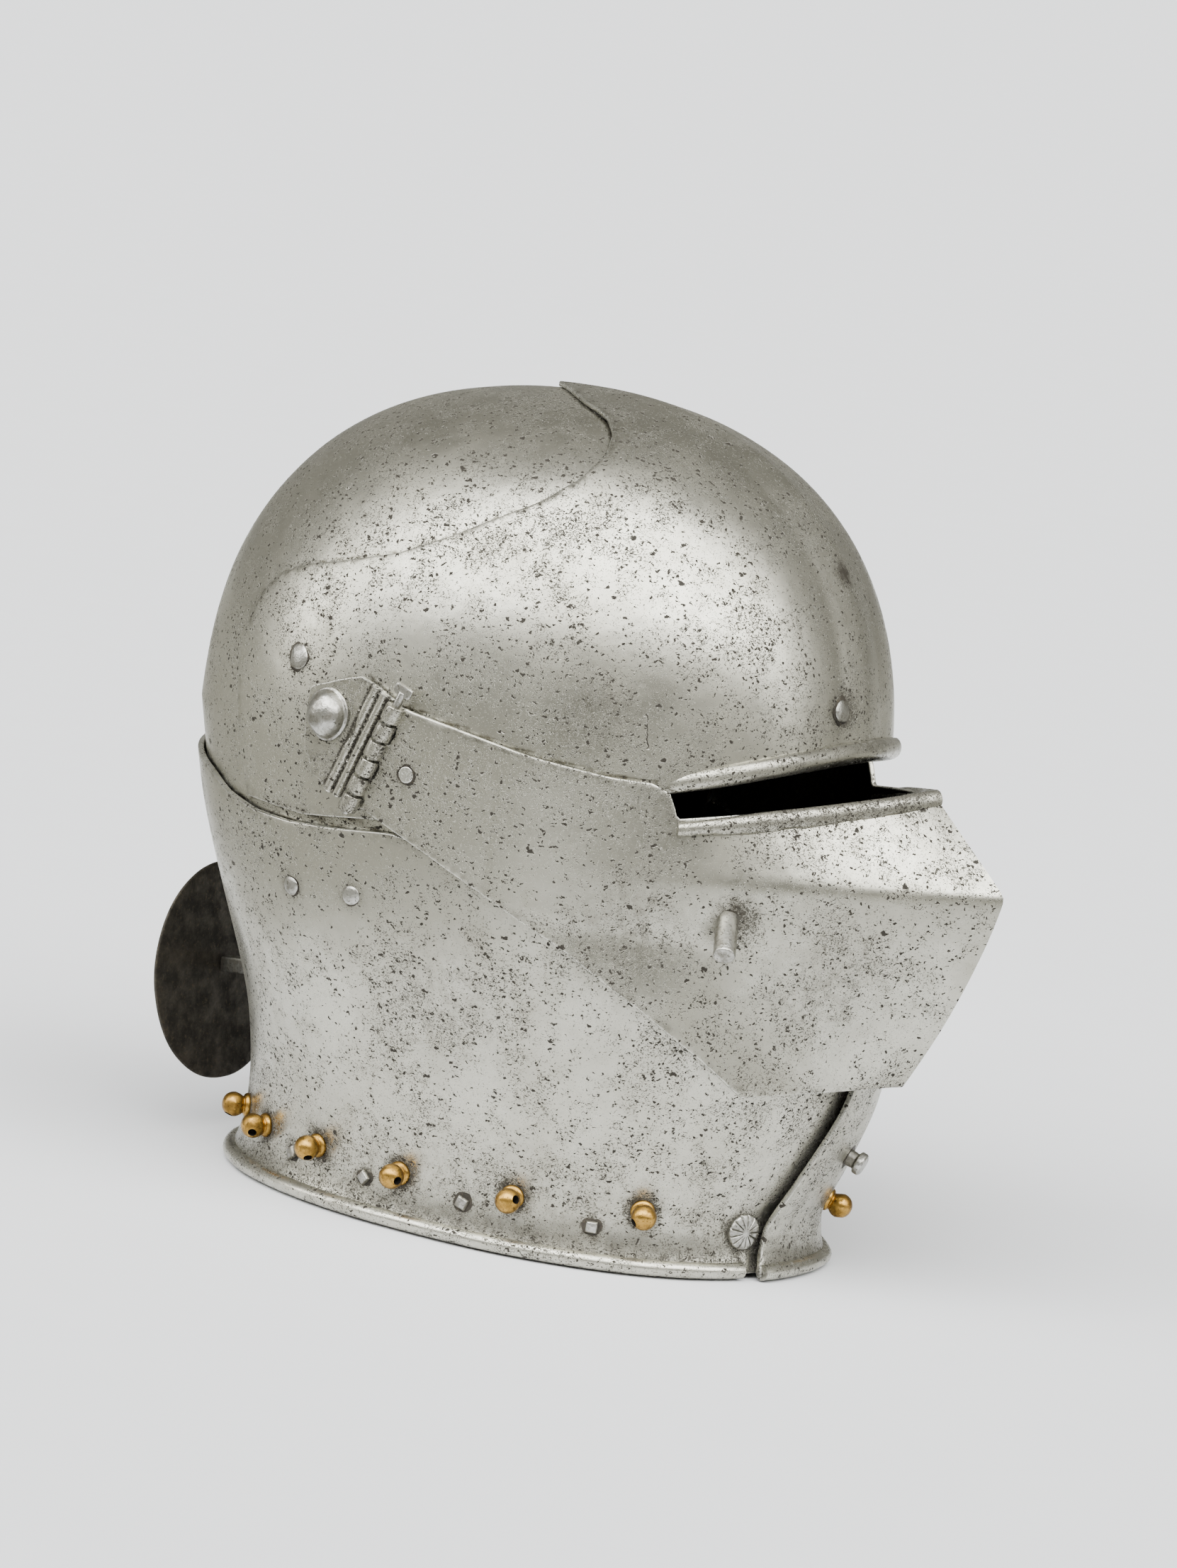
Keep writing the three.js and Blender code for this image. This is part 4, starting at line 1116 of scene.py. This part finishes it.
# fittings set on the plates
def fitting(name, profile, spot, nodes, body="helmet", material=filedSteel, dent=0.05, seed=1, stretch=1.0,
            ring=0.0):
    # a turned head; ring is the width of the dark ring round its foot, painted shadow under the head's raised edge,
    # with rust
    at, direction = spot
    rings = turnedRings(fillet(profile))
    rings[..., :2] *= (1 + dent * latticeNoise(rings, 3.2, seed))[..., None] * [1.0, stretch]
    pts, tris = ringsMesh(rings)
    insideFace = np.zeros(len(tris), bool)
    if ring:
        reach = max(r for r, h in profile) + ring
        seam = turnedRings([(0.01, -0.3), (reach, -0.3), (reach - 0.05, 0.1), (reach - 0.5, 0.2), (0.01, 0.2)])
        seam[..., :2] *= (1 + 0.16 * latticeNoise(seam, 2.1, seed + 2))[..., None] * [1.0, stretch]
        seamPts, seamTris = ringsMesh(seam)
        pts, tris = joinMeshes([(pts, tris), (seamPts, seamTris)])
        insideFace = np.concatenate([insideFace, np.ones(len(seamTris), bool)])
    makePiece(name, placed(pts, at, direction), tris, [material, rustedIronAndShade], body, nodes,
              insideFace=insideFace)


flushHead = [(0.01, -0.3), (3.7, -0.3), (3.65, 0.3), (2.9, 0.7), (1.4, 1.0), (0.01, 1.05)]
levelHead = [(0.01, -0.3), (2.7, -0.3), (2.65, 0.2), (2.2, 0.34), (1.2, 0.42), (0.01, 0.45)]
smallHead = [(0.01, -0.3), (3.2, -0.3), (3.1, 0.25), (2.3, 0.7), (1.1, 0.95), (0.01, 1.0)]
for side, word in sides:
    fitting("templeRivet_" + word, flushHead, seat(side, *places["templeRivet"]), ["temple_rivet_" + word],
            dent=0.12, seed=3, stretch=1.12, ring=0.35)
    fitting("cheekRivetRear_" + word, smallHead, seat(side, *places["cheekRivetRear"]),
            ["cheek_rivet_rear_" + word], dent=0.1, seed=5, ring=0.2)
    fitting("cheekRivetFront_" + word, smallHead, seat(side, *places["cheekRivetFront"]),
            ["cheek_rivet_front_" + word], dent=0.1, seed=7, ring=0.2)
    fitting("visorRivet_" + word, levelHead, seat(side, *places["visorRivet"]), ["visor_rivet_" + word], "visor",
            material=visorSteel, dent=0.12, seed=9, ring=0.55)
    for k, (y, z) in enumerate(rimRivetSpots):  # hand-cut square heads
        at, direction = seat(side, y, z, rimOut)
        angle = np.linspace(0, 2 * math.pi, 32, endpoint=False)
        square = 1 / np.maximum(np.abs(np.cos(angle)), np.abs(np.sin(angle))) ** 0.85
        rings = turnedRings(fillet([(0.01, -0.6), (2.05, -0.6), (2.0, 0.7), (1.6, 1.5), (0.01, 1.7)], 0.25), 32)
        rings[..., :2] *= square[None, :, None]
        rings[..., 2] += 0.2 * latticeNoise(rings, 2.4, 40 + k)
        rings[..., 2] += 0.16 * rings[..., 0] * (rings[..., 2] > 0.5)  # each head leans in its hole
        # a dark disc of the rusted iron round the head's foot: painted shade of the hole the head sits in, with
        # grime
        hole = turnedRings([(0.01, -0.3), (3.3, -0.3), (3.25, 0.06), (2.9, 0.12), (0.01, 0.12)], 32)
        hole[..., :2] *= (1 + 0.08 * latticeNoise(hole, 1.9, 50 + k))[..., None]
        hole[..., 0] += 0.45
        headPts, headTris = ringsMesh(rings)
        holePts, holeTris = ringsMesh(hole)
        pts, tris = joinMeshes([(headPts, headTris), (holePts, holeTris)])
        inHole = np.concatenate([np.zeros(len(headTris), bool), np.ones(len(holeTris), bool)])
        makePiece(f"rimRivet{k + 1}_{word}", placed(pts, at, direction, 0.5 + 0.35 * k), tris,
                  [filedSteel, rustedIronAndShade], "helmet", [f"rim_rivet_{k + 1}_{word}"], insideFace=inHole)
fitting("browRivet", flushHead, seat(-1, *places["browRivet"]), ["brow_rivet_right"], dent=0.12, seed=11, ring=0.7)
fitting("chinStud", [(0.01, -1), (2.8, -1), (2.5, 2.8), (3.6, 3.4), (3.6, 5.3), (3.0, 5.8), (0.01, 6.0)],
        seat(1, -150.5, 40, 6.8), ["chin_stud"], dent=0.12, seed=13, ring=0.6)

# rosette head with filed grooves that widen towards its rim
domed = [(0.01, -0.8), (5.8, -0.8), (5.85, 1.1), (5.5, 1.75), (4.2, 2.1), (3.0, 2.25), (2.0, 2.35), (0.9, 2.45),
         (0.01, 2.5)]
rosette = turnedRings(fillet(domed, 0.4, 4), 224)
angle = np.arctan2(rosette[..., 1], rosette[..., 0])
reach = np.hypot(rosette[..., 0], rosette[..., 1])
wedge = 0.3 + 0.5 * latticeNoise(np.round(np.stack([angle * 7 / math.pi, angle * 0, angle * 0], -1)), 0.7, 4)
groove = np.exp(-((np.abs(np.sin(angle * 6.5)) / (0.28 + 0.14 * wedge)) ** 2)) * ease((reach - 0.8) / 1.4)
groove = groove * (rosette[..., 2] > 0.9)
rosette[..., 2] -= 0.7 * groove * ease((6.4 - reach) / 1.5)
pts, tris = ringsMesh(rosette)
makePiece("rosetteRivet", placed(pts, *seat(-1, *places["rosette"])), tris, [filedSteel], "helmet",
          ["rosette_rivet"])

# the visor's lifting peg
row = np.linspace(0, 0.6, 600)
onRow = visorPoint(row, np.full(row.shape, float(pegSpot[1])))
pegFoot = onRow[np.argmin(np.abs(onRow[:, 1] - pegSpot[0]))]
fitting("liftPeg", [(0.01, -2), (3.6, -2), (3.5, 13.4), (3.2, 13.9), (0.01, 14.3)],
        (pegFoot, unit([-0.7, -0.38, -0.61])), ["lift_peg"], "visor", dent=0.03, seed=17)
print("rivets and studs done")

# vervelles: turned brass, pierced for the cord of a mail collar
vervelle = {
    "profile": [(0.01, -0.6), (3.5, -0.6), (3.95, 0.2), (3.9, 1.0), (3.4, 1.6), (2.9, 1.85), (2.85, 2.1), (3.3, 2.6),
                (3.85, 3.6), (4.1, 4.9), (3.85, 6.3), (3.1, 7.6), (2.0, 8.4), (1.0, 8.75), (0.01, 8.8)],
    "hole": 1.4,  # radius
    "lean": 24,  # degrees by which the hole leans out of the collar's plane
    "holeHeight": 5.0,
}


def piercedBall():
    pts, tris = ringsMesh(turnedRings(fillet(vervelle["profile"], 0.7, 3), 40))
    ball = bpy.data.meshes.new("ball")
    ball.from_pydata(pts.tolist(), [], tris.tolist())
    drill = turnedRings([(0.01, -8), (vervelle["hole"], -8), (vervelle["hole"], 8), (0.01, 8)], 20)
    drillPts, drillTris = ringsMesh(drill)
    lean = math.radians(vervelle["lean"])
    drillAxis = np.array([math.cos(lean), 0.0, math.sin(lean)])
    drillPts = placed(drillPts, np.array([0, 0, vervelle["holeHeight"]]), drillAxis)
    bit = bpy.data.meshes.new("bit")
    bit.from_pydata(drillPts.tolist(), [], drillTris.tolist())
    whole, tool = bpy.data.objects.new("ball", ball), bpy.data.objects.new("bit", bit)
    for made in (whole, tool):
        bpy.context.scene.collection.objects.link(made)
    cut = whole.modifiers.new("hole", "BOOLEAN")
    cut.operation, cut.solver, cut.object = "DIFFERENCE", "EXACT", tool
    done = whole.evaluated_get(bpy.context.evaluated_depsgraph_get()).to_mesh()
    pts = np.array([v.co[:] for v in done.vertices])
    done.calc_loop_triangles()
    tris = np.array([t.vertices[:] for t in done.loop_triangles])
    for made in (whole, tool):
        bpy.data.objects.remove(made)
    middle = pts[tris].mean(axis=1) - [0, 0, vervelle["holeHeight"]]
    fromAxis = np.linalg.norm(middle - (middle @ drillAxis)[:, None] * drillAxis, axis=1)
    return pts, tris, fromAxis < vervelle["hole"] * 1.01


ballPoints, ballTris, inHole = piercedBall()
spots = [seat(side, y, z, rimOut) for side, word in sides for y, z in vervelleSpots]
spots.append(seat(1, -141.5, 22.5, rimOut + plates["chinLap"] * 0.8))
spots.append((offsetPoint(math.pi, riseOf(18), 0.0), np.array([0.0, 1.0, 0.0])))
mouths = [-60, -20, -45, -10, 20, 195, 170, 150, 185, 200, 165, 190, 250, 10]  # which way each hole points, degrees
cameraRight, cameraUp = np.array([0.48348, -0.86581, 0.12892]), np.array([0.07566, 0.18806, 0.97924])
for k, ((at, direction), mouth) in enumerate(zip(spots, mouths)):
    wanted = math.cos(math.radians(mouth)) * cameraRight + math.sin(math.radians(mouth)) * cameraUp
    side = unit(np.cross([0.0, 0.0, 1.0], unit(direction)))
    spin = math.atan2(wanted @ np.cross(unit(direction), side), wanted @ side)
    # the walls of the drilled hole take the near-black finish: painted shade inside the hole
    makePiece(f"vervelle{k + 1:02d}", placed(ballPoints, at, direction, spin), ballTris, [lattenBrass, forgeBlackAndHoleShade],
              "helmet", [f"vervelle_{k + 1:02d}"], insideFace=inHole)
print("vervelles done")

# rondel
rondel = {"radius": 36.6, "at": np.array([0.0, 75.0, 52.0]), "dir": unit([0.08, 0.985, -0.13])}
profile = [(0.01, 0.05), (12, 0.05), (24, 0.05), (32, 0.05), (36, 0.1), (36.6, 0.4), (36.6, 1.0), (36, 1.35),
           (32, 1.5), (24, 1.5), (12, 1.5), (0.01, 1.5)]
rings = turnedRings(fillet(profile, 0.25, 2), 120)
rings[..., :2] *= (1 + 0.008 * latticeNoise(rings, 14, 5) - 0.004)[..., None]
pts, tris = ringsMesh(rings)
makePiece("rondelDisc", placed(pts, rondel["at"], rondel["dir"]), tris, [rustedIronAndShade], "helmet",
          ["rondel_disc"])
foot = offsetPoint(math.pi, riseOf(57), 0.35)
tip = (rondel["at"] - rondel["dir"] * 0.3) * [1, 1, 0] + [0, 0, 54]
along = unit(tip - foot)
angle = np.linspace(0, 2 * math.pi, 32, endpoint=False)
square = np.stack([np.sign(np.cos(angle)) * np.abs(np.cos(angle)) ** 0.3,
                   np.sign(np.sin(angle)) * np.abs(np.sin(angle)) ** 0.3], 1) * 2.65
length = np.linalg.norm(tip - foot)
waists = ((0, 1.0), (length * 0.3, 1.0), (length * 0.6, 0.97), (length - 0.4, 1.0), (length, 0.96))
rings = np.array([np.stack([*(square * g).T, np.full(32, h)], 1) for h, g in waists])
pts, tris = ringsMesh(rings)
makePiece("rondelStem", placed(pts, foot, along), tris, [filedSteel], "helmet", ["rondel_stem"])

# the strap hinges inside the cheek plates keep their shape and take the black of the inside
for side, word in sides:
    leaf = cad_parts["cheek_hinge_" + word]
    for holder in leaf.material_slots:
        holder.link = "OBJECT"
        holder.material = forgeBlackAndHoleShade
print("rondel done")

# floor, light and camera
floorMesh = bpy.data.meshes.new("floor")
reach = 30.0
floorMesh.from_pydata([(-reach, -reach, 0), (reach, -reach, 0), (reach, reach, 0), (-reach, reach, 0)], [],
                      [(0, 1, 2, 3)])
floor = bpy.data.objects.new("floor", floorMesh)
bpy.context.scene.collection.objects.link(floor)
floor.location.z = -0.0005
# matt paper run out in a wide strip under the helmet, pale grey and even, on a darker floor
paper, tree, shader, mm = newMaterial("palePaper")
fibre = noise(tree, mm, 1 / 40, 3.0)
tint = blend(tree, fibre, colour("d8d9dc"), colour("dbdcdf"))
bareFloor = None
for azimuth, spread, first, last in ((-62, 0.0, 480, 720), (28, 0.13, 265, 420), (-152, 0.12, 185, 330)):
    normal = towards(azimuth, 0) + spread * towards(-62, 0)
    past = vectorCalc(tree, "DOT_PRODUCT", mm, normal)
    past = ramp(tree, past, first, last, smooth=True)
    bareFloor = past if bareFloor is None else calc(tree, "MAXIMUM", bareFloor, past)
tint = blend(tree, bareFloor, tint, colour("807f79"))
tree.links.new(tint, shader.inputs["Base Color"])
shader.inputs["Roughness"].default_value = 0.9
shader.inputs["Specular IOR Level"].default_value = 0.1
floorMesh.materials.append(paper)

# a long soft box high over the camera's side, dark studio above the far side, plain walls round about
studio = {
    "walls": 0.74,
    "farSide": 0.3,
    "dim": 0.24,  # the unlit room low down behind the camera
    "warmth": (1.0, 0.98, 0.88),
    "strip": (-149, 5.5, 1.3),  # azimuth, half width in degrees, brightness
    "gap": (-126, 15, 0.3),
    "boxAzimuth": -66,
    "boxElevation": 58,
    "boxWide": 0.98,
    "boxHigh": 0.45,
    "box": 7.4,
    "boxTint": (0.99, 1.0, 1.0),
    "sideLamp": ("sideLamp", -148, 12, 1.6, 0.35, 1.6),  # azimuth, elevation, distance, size, power
}
world = bpy.data.worlds.new("studio")
bpy.context.scene.world = world
world.use_nodes = True
sky = world.node_tree
background = sky.nodes["Background"]
direction = addNode(sky, "ShaderNodeTexCoord").outputs["Generated"]
boxAim = towards(studio["boxAzimuth"], studio["boxElevation"])
boxSide = Vector((0, 0, 1)).cross(boxAim).normalized()
boxUp = boxAim.cross(boxSide)
across = vectorCalc(sky, "DOT_PRODUCT", direction, boxSide / studio["boxWide"])
above = vectorCalc(sky, "DOT_PRODUCT", direction, boxUp / studio["boxHigh"])
facing = vectorCalc(sky, "DOT_PRODUCT", direction, boxAim)
across = calc(sky, "MULTIPLY", across, across)
ring = calc(sky, "MULTIPLY_ADD", above, above, across)
ring = calc(sky, "SQRT", ring)
box = ramp(sky, ring, 1.15, 0.7, 0.0, studio["box"], smooth=True)
ahead = ramp(sky, facing, 0.0, 0.2)
box = calc(sky, "MULTIPLY", box, ahead)
side = vectorCalc(sky, "DOT_PRODUCT", direction, towards(-62, 0))
walls = ramp(sky, side, -0.5, 0.4, studio["farSide"], studio["walls"], smooth=True)
rise = vectorCalc(sky, "DOT_PRODUCT", direction, (0.0, 0.0, 1.0))
low = ramp(sky, rise, 0.12, 0.5, 1.0, 0.0, smooth=True)
near = ramp(sky, side, 0.1, 0.75, smooth=True)
dimmed = calc(sky, "MULTIPLY", low, near)
walls = addNode(sky, mixer, {0: dimmed, 2: walls, 3: studio["dim"]}, data_type="FLOAT").outputs[0]


def band(azimuth, halfWidth):
    # 1 in the middle of an upright band of the room, 0 outside it and high up
    aim = towards(azimuth, 0)
    beside = vectorCalc(sky, "DOT_PRODUCT", direction, towards(azimuth + 90, 0))
    beside = calc(sky, "ABSOLUTE", beside)
    reach = math.sin(math.radians(halfWidth))
    inside = ramp(sky, beside, reach * 0.5, reach * 1.5, 1.0, 0.0, smooth=True)
    front = vectorCalc(sky, "DOT_PRODUCT", direction, aim)
    front = ramp(sky, front, 0.0, 0.3)
    inside = calc(sky, "MULTIPLY", inside, front)
    lower = ramp(sky, rise, 0.45, 0.8, 1.0, 0.0)
    return calc(sky, "MULTIPLY", inside, lower)


strip, gap = studio["strip"], studio["gap"]
walls = addNode(sky, mixer, {0: band(gap[0], gap[1]), 2: walls, 3: gap[2]}, data_type="FLOAT").outputs[0]
walls = calc(sky, "MULTIPLY_ADD", band(strip[0], strip[1]), strip[2], walls)
tone = vectorCalc(sky, "SCALE", studio["warmth"], walls)
cool = vectorCalc(sky, "SCALE", studio["boxTint"], box)
tone = vectorCalc(sky, "ADD", tone, cool)
sky.links.new(tone, background.inputs[0])
background.inputs[1].default_value = 1.0

middle = Vector(toRow([0, -55, 130]))
name, azimuth, elevation, distance, size, power = studio["sideLamp"]
lamp = bpy.data.lights.new(name, "AREA")
lamp.shape = "DISK"
lamp.size = size
lamp.energy = power
holder = bpy.data.objects.new(name, lamp)
bpy.context.scene.collection.objects.link(holder)
holder.location = middle + towards(azimuth, elevation) * distance
holder.rotation_euler = (-towards(azimuth, elevation)).to_track_quat("-Z", "Y").to_euler()

camera = bpy.data.objects.new("camera", bpy.data.cameras.new("camera"))
bpy.context.scene.collection.objects.link(camera)
right, up = Vector(cameraRight), Vector(cameraUp)
turned = Matrix((right, up, right.cross(up))).transposed().to_4x4()
camera.matrix_world = Matrix.Translation((-1.7203, -0.9071, 0.4480)) @ turned
camera.data.sensor_fit = "VERTICAL"
camera.data.sensor_height = 24.0
camera.data.lens = 93.96
camera.data.clip_end = 200
bpy.context.scene.camera = camera
